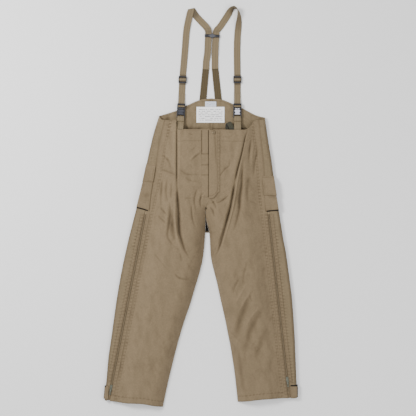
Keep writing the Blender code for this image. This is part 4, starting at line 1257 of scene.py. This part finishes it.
def cuff_tab(leg, low_y, high_y, tip_x):
    """The tab round the hem's outer edge, its tip on the front. A root below the hinge joins the leg."""
    over = SHELF + CLOTH / 2 + 1.3 * MM
    turn = smooth_path(
        [
            (0.0090, over, 0),
            (0.0020, over - 0.0004, 0),
            (-0.0010, 0.0176, 0),
            (-0.0034, 0.0140, 0),
            (-0.0045, TAB_HINGE, 0),
            (-0.0030, 0.0080, 0),
            (0.0000, 0.0074, 0),
            (0.0025, 0.0072, 0),
        ],
        0.0012,
    )
    ys = np.linspace(low_y, high_y, 26)
    rows_x, rows_z = [], []
    for y in ys:
        outer = float(leg.outer(y))
        start = outer + leg.inward * turn[0][0]
        rows_x.append(
            [tip_x + (start - tip_x) * u for u in np.linspace(0, 1, 12)[:-1]]
            + [outer + leg.inward * t[0] for t in turn]
        )
        rows_z.append([over] * 11 + [t[1] for t in turn])
    x, z = np.array(rows_x), np.array(rows_z)
    y = np.repeat(ys[:, None], x.shape[1], axis=1)
    edge = np.minimum(np.minimum(y - low_y, high_y - y), np.abs(x - tip_x))
    line = bell(edge - 0.0050, 0.0010)
    z = z - 0.25 * MM * line + 0.2 * MM * soft_noise(x, y, 0.01, 0.01, 101.0)
    # Painted shade on the stitch line, the edges and the turn down under the tab.
    shade = 0.34 * line + 0.30 * bell(edge, 0.0010) + 0.7 * ease((0.019 - z) / 0.003)
    from_edge = (x - leg.outer(y)) * leg.inward
    corner = 1.0 if leg.side == "left" else ease((0.0035 - from_edge) / 0.003)
    # Painted black shadow along the tab's top edge.
    shade += 1.35 * ease((y - high_y + 0.0060) / 0.0018) * corner
    shade += 0.3 * ease((0.0012 - from_edge) / 0.002) * (leg.side == "left")
    tab = shell(f"{leg.side}_tab_cloth", x, y, z, DOUBLE, CLOTH_LOOK, np.clip(shade, 0, DARKEST))
    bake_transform(tab)
    under = [f"{leg.side}_back_cloth"]
    declare(tab, [f"{leg.side}_cuff_tab"], flat=leg.own(TAB_FLATS), held="folded", on=under)


# Suspenders


def webbing(name, rows, thickness, look, body, nodes, slot, shade=None, ribs=5, step=0.004):
    """Narrow webbing from rows of two end points, with ribs along it and rounded selvedges."""
    flat = smooth_path([tuple(a) + tuple(b) for a, b in rows], step)
    a, b = np.array([r[:3] for r in flat]), np.array([r[3:] for r in flat])
    columns = 6 * ribs + 1
    u = np.linspace(0, 1, columns)
    centre = (a + b) / 2
    along = np.gradient(centre, axis=0)
    along /= np.maximum(np.linalg.norm(along, axis=1, keepdims=True), 1e-9)
    across = (b - a) / np.linalg.norm(b - a, axis=1, keepdims=True)
    out = np.cross(across, along)
    profile = (
        0.10 * MM * np.cos(2 * np.pi * u * ribs)
        - 0.30 * MM * np.clip(np.abs(2 * u - 1) - 0.88, 0, 1) / 0.12
    )
    points = (
        a[:, None, :] + (b - a)[:, None, :] * u[None, :, None] + out[:, None, :] * profile[None, :, None]
    )
    faces = grid_faces(len(flat), columns)
    obj = new_object(name, points.reshape(-1, 3), faces, look)
    travelled = np.concatenate([[0], np.cumsum(np.linalg.norm(np.diff(centre, axis=0), axis=1))])
    layer = obj.data.uv_layers.new(name="weave")
    index = corner_points(obj)
    map_uv(layer, u[index % columns], travelled[index // columns])
    selvedge = bell(np.minimum(u, 1 - u), 0.035) * 0.22
    tone = np.repeat(selvedge[None, :], len(flat), axis=0)
    if shade is not None:
        tone = tone + shade(points[..., 0], points[..., 1], points[..., 2])
    mark(obj, "crease", tone)
    thicken(obj, thickness - 0.2 * MM, 0)
    obj.data.shade_smooth()
    obj.data.set_sharp_from_angle(angle=math.radians(50))
    sewn(obj, body, *nodes, slot=slot)
    return obj


def ends(stations, half_width):
    """The two end points across a flat strap at each station, which is (x, y, z, roll in degrees)."""
    rows = []
    for i, (x, y, z, roll) in enumerate(stations):
        before, after = stations[max(i - 1, 0)], stations[min(i + 1, len(stations) - 1)]
        along = Vector((after[0] - before[0], after[1] - before[1], 0)).normalized()
        side = Vector((along.y, -along.x, 0))
        angle = math.radians(roll)
        half = (side * math.cos(angle) + Vector((0, 0, math.sin(angle)))) * half_width
        centre = Vector((x, y, z))
        rows.append((centre - half, centre + half))
    return rows


def elastic(side, low, high):
    """The ribbed elastic between the high back and a back strap."""
    stations = smooth_path([(*low, 0.0012, 0), (*high, 0.0012, 0)], 0.01)
    rows = ends(stations, WEB_WIDTH / 2)
    for i, (a, b) in enumerate(rows):
        spread = (b - a) * 0.035 * (1 - i / len(rows))
        rows[i] = (a - spread, b + spread)
    shade = lambda x, y, z: 0.30 * ease((y - high[1] + 0.008) / 0.004) + 0.4 * ease((0.442 - y) / 0.012)
    webbing(
        f"{side}_elastic",
        rows,
        ELASTIC,
        ELASTIC_LOOK,
        "garment",
        [f"{side}_elastic_strap"],
        "elastic",
        shade,
        ribs=9,
    )


FLAT, RAISED, FOLDED_OVER = 0.0010, 0.0033, 0.0032


def right_webbing():
    """Up the back through the yoke, folded flat over the shoulder, and down the front."""
    back = [
        (
            0.0206, 0.5525, 0.0030, 0
        ), (0.0209, 0.5580, 0.0028, 0), (0.0225, 0.585, 0.0020, 0), (0.0274, 0.620, RAISED, 0),
        (0.0294, 0.660, RAISED, 0), (0.0314, 0.700, RAISED, 0), (0.0300, 0.710, 0.0036, 6),
        (0.0210, 0.724, 0.0030, 8), (0.0060, 0.740, 0.0018, 2),
        (-0.0175, 0.766, FLAT, 0), (-0.0295, 0.7835, FLAT, 0),
    ]
    front = [
        (-0.0422, 0.7800, FOLDED_OVER, 0), (-0.0492, 0.750, FOLDED_OVER, 0), (-0.0572, 0.705, 0.0022, 0),
        (-0.0640, 0.620, FLAT, 0), (-0.0725, 0.520, FLAT, 0), (-0.0768, 0.4400, FLAT, 0),
    ]
    crease, reach = Vector((0.976, 0.219, 0)), 0.0136
    middle = Vector((-0.0378, 0.7958, 0))
    beyond = Vector((-0.219, 0.976, 0)) * 0.0009
    rows = ends(smooth_path(back, 0.010), WEB_WIDTH / 2)
    for lift, out in ((FLAT, 0), (0.0021, 1), (FOLDED_OVER, 0)):
        centre = middle + beyond * out + Vector((0, 0, lift))
        rows.append((centre - crease * reach, centre + crease * reach))
    rows = [row[::-1] for row in rows] + ends(smooth_path(front, 0.012), WEB_WIDTH / 2)

    def shade(x, y, z):
        under = (
            0.85
            * ease((0.0024 - z) / 0.001)
            * ease((y - 0.738 - 0.75 * (x + 0.03)) / 0.030)
            * (x > -0.046)
            * (y > 0.72)
        )
        at_yoke = 0.45 * bell(np.abs(y - YOKE_EDGE_Y), 0.006) + 0.35 * bell(y - 0.716, 0.003)
        return under + at_yoke * (x > -0.01)

    webbing("right_strap", rows, WEB, WEB_LOOK, "garment", ["right_shoulder_webbing"], "webbing", shade)


def left_webbing():
    """The same strap on the other side, which stands on its edge where it turns over the shoulder."""

    def station(x, y, roll):
        return (x, y, FLAT, roll)

    path = [
        (
            0.0576, 0.5545, 0.0030, 180
        ), (0.0574, 0.5590, 0.0028, 180), (0.0572, 0.585, 0.0020, 180), (0.0578, 0.620, RAISED, 180),
        (0.0598, 0.660, RAISED, 180), (0.0618, 0.700, RAISED, 180), (0.0640, 0.7090, 0.0030, 180),
        station(0.0790, 0.726, 180), station(0.1060, 0.766, 172), station(0.1200, 0.788, 140),
        station(0.1330, 0.7986, 108), station(0.1440, 0.7961, 90), station(0.1520, 0.782, 70),
        station(0.1545, 0.757, 48), station(0.1515, 0.725, 16), (0.1475, 0.680, FLAT, 0),
        (0.1462, 0.620, FLAT, 0),
        (0.1474, 0.511, FLAT, 0), (0.1472, 0.4400, FLAT, 0),
    ]
    stations = [
        (x, y, max(z, FLAT + (WEB_WIDTH / 2 + 0.0004) * abs(math.sin(math.radians(roll)))), roll)
        for x, y, z, roll in smooth_path(path, 0.008)
    ]

    def shade(x, y, z):
        turned = 0.95 * bell(y - 0.789, 0.012) * bell(x - 0.131, 0.011)
        on_edge = 0.22 * ease((y - 0.70) / 0.02) * (x > 0.138)
        at_yoke = 0.4 * bell(np.abs(y - YOKE_EDGE_Y), 0.006) * (x < 0.1)
        return turned + on_edge + at_yoke

    webbing(
        "left_strap",
        ends(stations, WEB_WIDTH / 2),
        WEB,
        WEB_LOOK,
        "garment",
        ["left_shoulder_webbing"],
        "webbing",
        shade,
    )


def strap_line(side):
    """(x, heading) of a front strap's lower end: x as a function of y, and the angle that it leans by."""
    if side == "right":
        lean = math.radians(-3.0)
        return (lambda y: -0.0790 - math.tan(lean) * (y - MOUTH_Y)), lean
    lean = math.radians(-0.1)
    return (lambda y: 0.1470 - math.tan(lean) * (y - MOUTH_Y)), lean


def along_strap(side, profile, half_width=WEB_WIDTH / 2):
    """Rows of two end points that follow (y, z) pairs on a front strap's line, where z may be z(x, y)."""
    line, lean = strap_line(side)
    across = Vector((math.cos(lean), math.sin(lean), 0)) * half_width
    rows = []
    for y, z in profile:
        centre = Vector((line(y), y, 0))
        pair = [centre - across, centre + across]
        for end in pair:
            end.z = float(z(np.array(end.x), np.array(end.y))) if callable(z) else z
        rows.append(tuple(pair))
    return rows


BAR_LOW, BAR_HIGH = 0.0120, 0.0150


def buckle_webbing(side):
    """The webbing round the adjuster's bar and the plug's bar, and the anchor sewn into the waist."""
    under, over = 0.0029, 0.0082
    rise = ((0.0200, under), (0.0095, under), (0.0063, 0.0037), (0.0042, 0.0072), (0.0022, over))
    profile = [(ADJUSTER_Y - d, z) for d, z in rise] + [(ADJUSTER_Y + d, z) for d, z in reversed(rise)]
    shade = lambda x, y, z: 0.8 * ease((np.abs(y - ADJUSTER_Y) - 0.0030) / 0.0022)
    rows = along_strap(side, profile)
    webbing(
        f"{side}_adjuster_web",
        rows,
        DOUBLE,
        WEB_LOOK,
        f"{side}_adjuster",
        [f"{side}_adjuster_loop"],
        "webbing",
        shade,
        step=0.0015,
    )

    under, over = BUCKLE_BASE + 0.0012, BUCKLE_BASE + 0.0076
    low, high = MOUTH_Y + BAR_LOW, MOUTH_Y + BAR_HIGH
    loop = [
        (0.4560, 0.0029), (0.4390, 0.0029), (0.4270, 0.0046), (0.4150, under), (high + 0.0034, under),
        (high + 0.0018, under + 0.0014), (high + 0.0018, over - 0.0014), (high + 0.0002, over),
        (low - 0.0002, over), (low - 0.0018, over - 0.0014), (low - 0.0018, under + 0.0018),
    ]
    shade = lambda x, y, z: 0.55 * ease(
        (0.0118 - z) / 0.003
    ) * (y < 0.4145) + 0.3 * ease((0.420 - y) / 0.006) * (y > 0.4146)
    webbing(
        f"{side}_plug_web",
        along_strap(side, loop),
        DOUBLE,
        WEB_LOOK,
        f"{side}_plug",
        [f"{side}_plug_loop"],
        "webbing",
        shade,
        step=0.0015,
    )

    bar = MOUTH_Y - 0.0275
    leg = RIGHT if side == "right" else LEFT
    inside = lambda x, y: front_surface(leg, x, y)[0] - 0.0048
    anchor = [
        (0.2680, inside), (0.3080, inside), (0.3420, 0.0130), (
            0.3560, under + 0.0002
        ), (bar - 0.0002, under),
        (bar + 0.0018, under + 0.0014), (bar + 0.0018, over - 0.0014), (bar - 0.0002, over), (0.3560, over),
        (0.3440, 0.0160),
    ]
    shade = lambda x, y, z: 0.4 * ease((0.3155 - y) / 0.008) + 0.35 * ease((y - 0.3585) / 0.004)
    webbing(
        f"{side}_anchor_web",
        along_strap(side, anchor),
        DOUBLE,
        WEB_LOOK,
        "garment",
        [f"{side}_anchor_webbing"],
        "webbing",
        shade,
        step=0.003,
    )


def plate(name, outline, top, look, body):
    """A raised plate 0.7 mm high on a moulded face, from (x, y) corners that run anticlockwise."""
    corners = [(x, y, level) for level in (top - 0.1 * MM, top + 0.7 * MM) for x, y in outline]
    count = len(outline)
    faces = [tuple(range(count))[::-1], tuple(range(count, 2 * count))]
    faces += [(i, (i + 1) % count, (i + 1) % count + count, i + count) for i in range(count)]
    piece = new_object(name, corners, faces, look, smooth=False)
    rounded = piece.modifiers.new("rounded", "BEVEL")
    rounded.width = 0.22 * MM
    rounded.segments = 2
    bake(piece)
    sewn(piece, body, slot="buckle_plastic")


def yoke_plate():
    """The grey diamond on the yoke's face."""
    x, y, lean = 0.0461, 0.6866, math.atan2(-0.05, 1)
    corners = [(0.0168, 0), (0, 0.0080), (-0.0168, 0), (0, -0.0080)]
    turned = [
        (x + a * math.cos(lean) - b * math.sin(lean), y + a * math.sin(lean) + b * math.cos(lean))
        for a, b in corners
    ]
    plate("yoke_diamond", turned, 0.0076, DIAMOND_LOOK, "yoke")


def buckle_details(side):
    """The raised plates moulded into a buckle's face; the left buckle's are pale, a painted reflection."""
    line, lean = strap_line(side)
    top = BUCKLE_BASE + 0.0088
    heading = (math.cos(lean), math.sin(lean))
    panel_look = REFLECTION_PANEL_LOOK if side == "left" else DARK_PANEL_LOOK

    def placed(outline):
        return [(line(y) + dx * heading[0], y + dx * heading[1]) for dx, y in outline]

    waisted = [
        (0.0112, 0.3706),
        (0.0110, 0.3728),
        (0.0078, 0.3762),
        (0.0082, 0.3795),
        (0.0108, 0.3822),
        (0.0106, 0.3862),
        (0.0090, 0.3892),
    ]
    plate(
        f"{side}_socket_plate",
        placed(waisted + [(-x, y) for x, y in reversed(waisted)]),
        top,
        panel_look,
        "garment",
    )
    notched = [
        (0.0088, 0.3910),
        (0.0084, 0.3950),
        (0.0030, 0.3950),
        (0.0, 0.3926),
        (-0.0030, 0.3950),
        (-0.0084, 0.3950),
        (-0.0088, 0.3910),
    ]
    plate(f"{side}_plug_plate", placed(notched), top, panel_look, f"{side}_plug")


# Labels, the hanging loop and the thread


def label(name, node, low, high, look, slot, corners_up):
    """A label sewn flat inside the back, whose edges lift a little between its stitches."""
    u, v = mesh_grid(np.linspace(0, 1, 40), np.linspace(0, 1, 26))
    x, y = low[0] + (high[0] - low[0]) * u, low[1] + (high[1] - low[1]) * v
    lift = (
        0.35 * MM * np.clip(soft_noise(x, y, 0.03, 0.02, 113.0), 0, 1)
        + corners_up * (np.abs(2 * u - 1) ** 8 + np.abs(2 * v - 1) ** 8) * 0.3
    )
    z = BACK_LIFT(y) + CLOTH / 2 + 1.3 * MM + lift
    edge = np.minimum(np.minimum(u, 1 - u) * (high[0] - low[0]), np.minimum(v, 1 - v) * (high[1] - low[1]))
    x = x + 0.4 * MM * soft_noise(y, u * 0.01, 0.012, 1.0, 5.0) * (u > 0.9)
    points = np.stack([x.ravel(), y.ravel(), z.ravel()], axis=1)
    obj = new_object(name, points, facing_up(points, *x.shape), look)
    layer = obj.data.uv_layers.new(name="print")
    index = corner_points(obj)
    map_uv(layer, u.ravel()[index], v.ravel()[index])
    mark(obj, "crease", 0.25 * bell(edge, 0.0012))
    thicken(obj, 0.5 * MM, -1)
    size = (round(high[1] - low[1], 4), round(high[0] - low[0], 4))
    sewn(obj, "garment", node, slot=slot, flat=size, on=["right_back_cloth", "left_back_cloth"])


def hanging_loop():
    """A folded loop of green webbing that leans out of the waist's opening."""
    inside = float(LEFT.front_height(np.array(0.108), np.array(0.29))) - 0.0054
    wide, turned = Vector((0.93, 0.30, 0)) * 0.0098, Vector((0.50, 0.24, 0.55)) * 0.0098
    path = [
        (0.1238, 0.276, inside), (0.1238, 0.300, inside - 0.0004), (0.1222, 0.315, 0.0280),
        (0.1178, 0.3275, 0.0240), (0.1128, 0.3370, 0.0185), (0.1078, 0.3372, 0.0140),
        (0.1045, 0.3290, 0.0108), (0.1048, 0.3175, 0.0098), (0.1080, 0.306, 0.0095),
    ]
    rows = []
    for place in smooth_path(path, 0.004):
        across = wide.lerp(turned, float(ease((0.0185 - place[2]) / 0.005)))
        rows.append((Vector(place) - across, Vector(place) + across))

    def shade(x, y, z):
        # Painted black shadow in the hollow under the loop's fold, and painted shade where it goes under the
        # front's edge.
        hollow = (
            1.4 * np.exp(-(((x - 0.1050) / 0.0052) ** 2) - (((y - 0.3265) / 0.0070) ** 2)) * (z < 0.0175)
        )
        return hollow + 0.9 * ease((0.3155 - y) / 0.004)

    webbing(
        "green_loop",
        rows,
        DOUBLE,
        GREEN_LOOK,
        "garment",
        ["hanging_loop"],
        "green_webbing",
        shade,
        ribs=3,
        step=0.003,
    )


def stitch_row(points, height, pitch=3.4 * MM, start=0.5):
    """Centres and directions of the stitches along a line of (x, y) points, on height(x, y)."""
    line = np.array([p[:2] for p in points], float)
    lengths = np.hypot(*np.diff(line, axis=0).T)
    walked = np.concatenate([[0], np.cumsum(lengths)])
    at = np.arange(start * pitch, walked[-1], pitch)
    x, y = np.interp(at, walked, line[:, 0]), np.interp(at, walked, line[:, 1])
    dx = np.interp(at + 0.001, walked, line[:, 0]) - np.interp(at - 0.001, walked, line[:, 0])
    dy = np.interp(at + 0.001, walked, line[:, 1]) - np.interp(at - 0.001, walked, line[:, 1])
    size = np.maximum(np.hypot(dx, dy), 1e-9)
    z = np.asarray(height(x, y), float) + 0.08 * MM
    return np.stack([x, y, z], axis=1), np.stack([dx / size, dy / size], axis=1)


def thread(name, body, rows, look, nodes=()):
    """All the stitches of several rows as one piece of thread on one body."""
    centres = np.concatenate([row[0] for row in rows])
    directions = np.concatenate([row[1] for row in rows])
    length, width, height = 2.3 * MM, 0.62 * MM, 0.42 * MM
    corner = np.array([(-0.5, 0, 0), (-0.22, -0.5, 0.1), (-0.22, 0.5, 0.1), (-0.22, 0, 0.7), (-0.22, 0, -0.5),
                       (0.22, -0.5, 0.1), (0.22, 0.5, 0.1), (0.22, 0, 0.7), (0.22, 0, -0.5), (0.5, 0, 0)])
    faces = [
        (0, 3, 1), (0, 2, 3), (0, 1, 4), (0, 4, 2), (1, 3, 7, 5), (3, 2, 6, 7), (2, 4, 8, 6), (4, 1, 5, 8),
        (9, 5, 7), (9, 7, 6), (9, 8, 5), (9, 6, 8),
    ]
    along, across, up = corner[:, 0] * length, corner[:, 1] * width, corner[:, 2] * height
    dx, dy = directions[:, :1], directions[:, 1:]
    points = np.stack(
        [
            centres[:, :1] + along * dx - across * dy,
            centres[:, 1:2] + along * dy + across * dx,
            centres[:, 2:] + up + 0 * dx,
        ],
        axis=2,
    )
    all_faces = [tuple(10 * i + k for k in face) for i in range(len(centres)) for face in faces]
    obj = new_object(name, points.reshape(-1, 3), all_faces, look)
    return sewn(obj, body, *nodes)


def garment_thread():
    rows = []
    for leg in LEGS:
        height = lambda x, y, leg=leg: outside(leg, x, y)
        ys = np.linspace(-0.750, TOP, 240)
        for d in SEAM_ROWS:
            top_y = TOP if d == SEAM_ROWS[0] else 0.30
            rows.append(stitch_row([(leg.seam(y) + leg.inward * d, y) for y in ys if y < top_y], height))
        xs = np.linspace(
            float(leg.seam(-0.75)) + leg.inward * 0.010, float(leg.inner(-0.765)) - leg.inward * 0.004, 90
        )
        rows.append(stitch_row([(x, float(leg.hem(x)) + HEM_ROW) for x in xs], height))
        xs = np.linspace(
            float(leg.seam(0.30)) + leg.inward * 0.034, float(leg.inner(0.30)) - leg.inward * 0.012, 120
        )
        for depth in (TOP_ROW, WAIST_ROW):
            rows.append(stitch_row([(x, float(leg.front_top(x)) - depth) for x in xs], height))
        welt = lambda x, y: np.full(np.shape(x), SHELF + CLOTH / 2 + 1.35 * MM)
        for inward, low_y in ((leg.inward, -0.748), (-leg.inward, -0.698)):
            rows.append(
                stitch_row(
                    [(leg.zip_x(y) + inward * WELT_ROW, y) for y in np.linspace(low_y, -0.03, 60)], welt
                )
            )
        back_height = lambda x, y: BACK_LIFT(y) + CLOTH / 2 - 0.1 * MM
        hump = RIGHT_HUMP if leg is RIGHT else LEFT_HUMP
        rows.append(stitch_row([(x + 0.004 * leg.inward, y - 0.008) for x, y in hump], back_height))
        middle = 0.0427 - 0.005 if leg is RIGHT else 0.0433 + 0.005
        rows.append(stitch_row([(middle, 0.315), (middle, 0.334)], back_height))
    for line_y in UNDERLAP_ROWS:
        rows.append(stitch_row([(0.005, line_y), (0.030, line_y)], underlap_top, pitch=2.6 * MM))
    rows.append(stitch_row([(0.0058, 0.300), (0.0058, 0.050)], underlap_top))
    thread("garment_stitching", "garment", rows, THREAD_LOOK)
    curve = [
        (FLAP_CURVE_X + FLAP_CURVE_RADIUS * math.cos(a), FLAP_CURVE_Y - FLAP_CURVE_RADIUS * math.sin(a))
        for a in np.linspace(0.1, 1.45, 12)
    ]
    flap_rows = [
        stitch_row([(FLAP_ROWS[1], 0.045), (FLAP_ROWS[1], 0.303)], flap_top),
        stitch_row([(FLAP_ROWS[0], 0.303), (FLAP_ROWS[0], FLAP_CURVE_Y)] + curve, flap_top),
    ]
    thread("fly_cover_stitching", "fly_cover", flap_rows, THREAD_LOOK)


def stage():
    size = 6.0
    look = Nodes("floor_paper", grey(0.93), 0.9)
    look.rough(look.ramp(look.noise(3.0, 2.0), 0.3, 0.7, grey(0.85), grey(0.95)))
    corners = [
        (-size, -size, -0.0004), (size, -size, -0.0004), (size, size, -0.0004), (-size, size, -0.0004)
    ]
    floor = new_object("floor", corners, [(0, 1, 2, 3)], look.material)

    def area(name, where, target, width, power, tint=(1, 1, 1)):
        light = bpy.data.lights.new(name, "AREA")
        light.shape = "DISK"
        light.size = width
        light.energy = power
        light.color = tint
        obj = bpy.data.objects.new(name, light)
        obj.location = where
        obj.rotation_euler = (Vector(target) - Vector(where)).to_track_quat("-Z", "Y").to_euler()
        bpy.context.scene.collection.objects.link(obj)

    area("key", (-1.9, 1.0, 2.1), grey(0.0), 0.9, 84)
    area("fill", (2.0, -0.8, 2.8), grey(0.0), 1.8, 26)
    world = bpy.data.worlds.new("studio")
    world.use_nodes = True
    world.node_tree.nodes["Background"].inputs["Color"].default_value = (1, 1, 1, 1)
    world.node_tree.nodes["Background"].inputs["Strength"].default_value = 0.92
    bpy.context.scene.world = world


def camera():
    """Straight above the garment. The picture is 416 wide, which is 1.664 m on the floor."""
    height = 3.6
    view_width = 1.664
    data = bpy.data.cameras.new("camera")
    data.sensor_width = 36
    data.lens = data.sensor_width * height / view_width
    obj = bpy.data.objects.new("camera", data)
    obj.location = (0.0292, -0.0046, height + 0.02)
    bpy.context.scene.collection.objects.link(obj)
    bpy.context.scene.camera = obj


camera()
stage()
for leg in LEGS:
    front(leg)
    back(leg)
    facing(leg)
    welts(leg)
    zip_chain(
        leg.side,
        leg.zip_low,
        leg.zip_high,
        SHELF,
        tape_less=0.028 if leg is RIGHT else 0.0205,
        tape_more=0.022,
    )
gusset()
fly()
zip_chain("fly", (0.043, 0.036), (0.043, 0.302), FLY_HEIGHT, first_tooth=0.026)
pocket(RIGHT, -0.004, 0.014, 0.150, 0.001, -0.207, -0.184, flap_low=0.100, flap_high=0.172)
pocket(LEFT, -0.016, 0.004, 0.101, 0.001, 0.259, 0.250, flap_low=0.046, flap_high=0.123)
cuff_tab(RIGHT, -0.768, -0.716, -0.3695)
cuff_tab(LEFT, -0.763, -0.713, 0.3595)
elastic("right", (0.0060, 0.400), (0.0206, 0.5570))
elastic("left", (0.0740, 0.400), (0.0576, 0.5570))
right_webbing()
left_webbing()
for side in ("right", "left"):
    buckle_webbing(side)
    buckle_details(side)
yoke_plate()
label("white_label", "care_label", (-0.0168, 0.3380), (0.0956, 0.4014), LABEL_LOOK, "label_cloth", 0.5 * MM)
label(
    "grey_label",
    "size_label",
    (0.0180, 0.4018),
    (0.0620, 0.4230),
    SMALL_LABEL_LOOK,
    "small_label_cloth",
    0.3 * MM,
)
hanging_loop()
garment_thread()


def finish_nodes():
    """Gives every CAD node that still shows its own material."""
    looks = {
        "shell_cloth": CLOTH_LOOK,
        "webbing": WEB_LOOK,
        "elastic": ELASTIC_LOOK,
        "buckle_plastic": PLASTIC_LOOK,
        "zip_teeth": TEETH_LOOK,
        "zip_metal": METAL_LOOK,
        "label_cloth": LABEL_LOOK,
        "small_label_cloth": SMALL_LABEL_LOOK,
        "green_webbing": GREEN_LOOK,
    }
    slots = {part["node"]: part["material_slot"] for part in frame["record"]["subparts"]}
    for name, node in frame["nodes"].items():
        node.data.materials.clear()
        node.data.materials.append(CAP_LOOK if name == "fly_snap_cap" else looks[slots[name]])


finish_nodes()
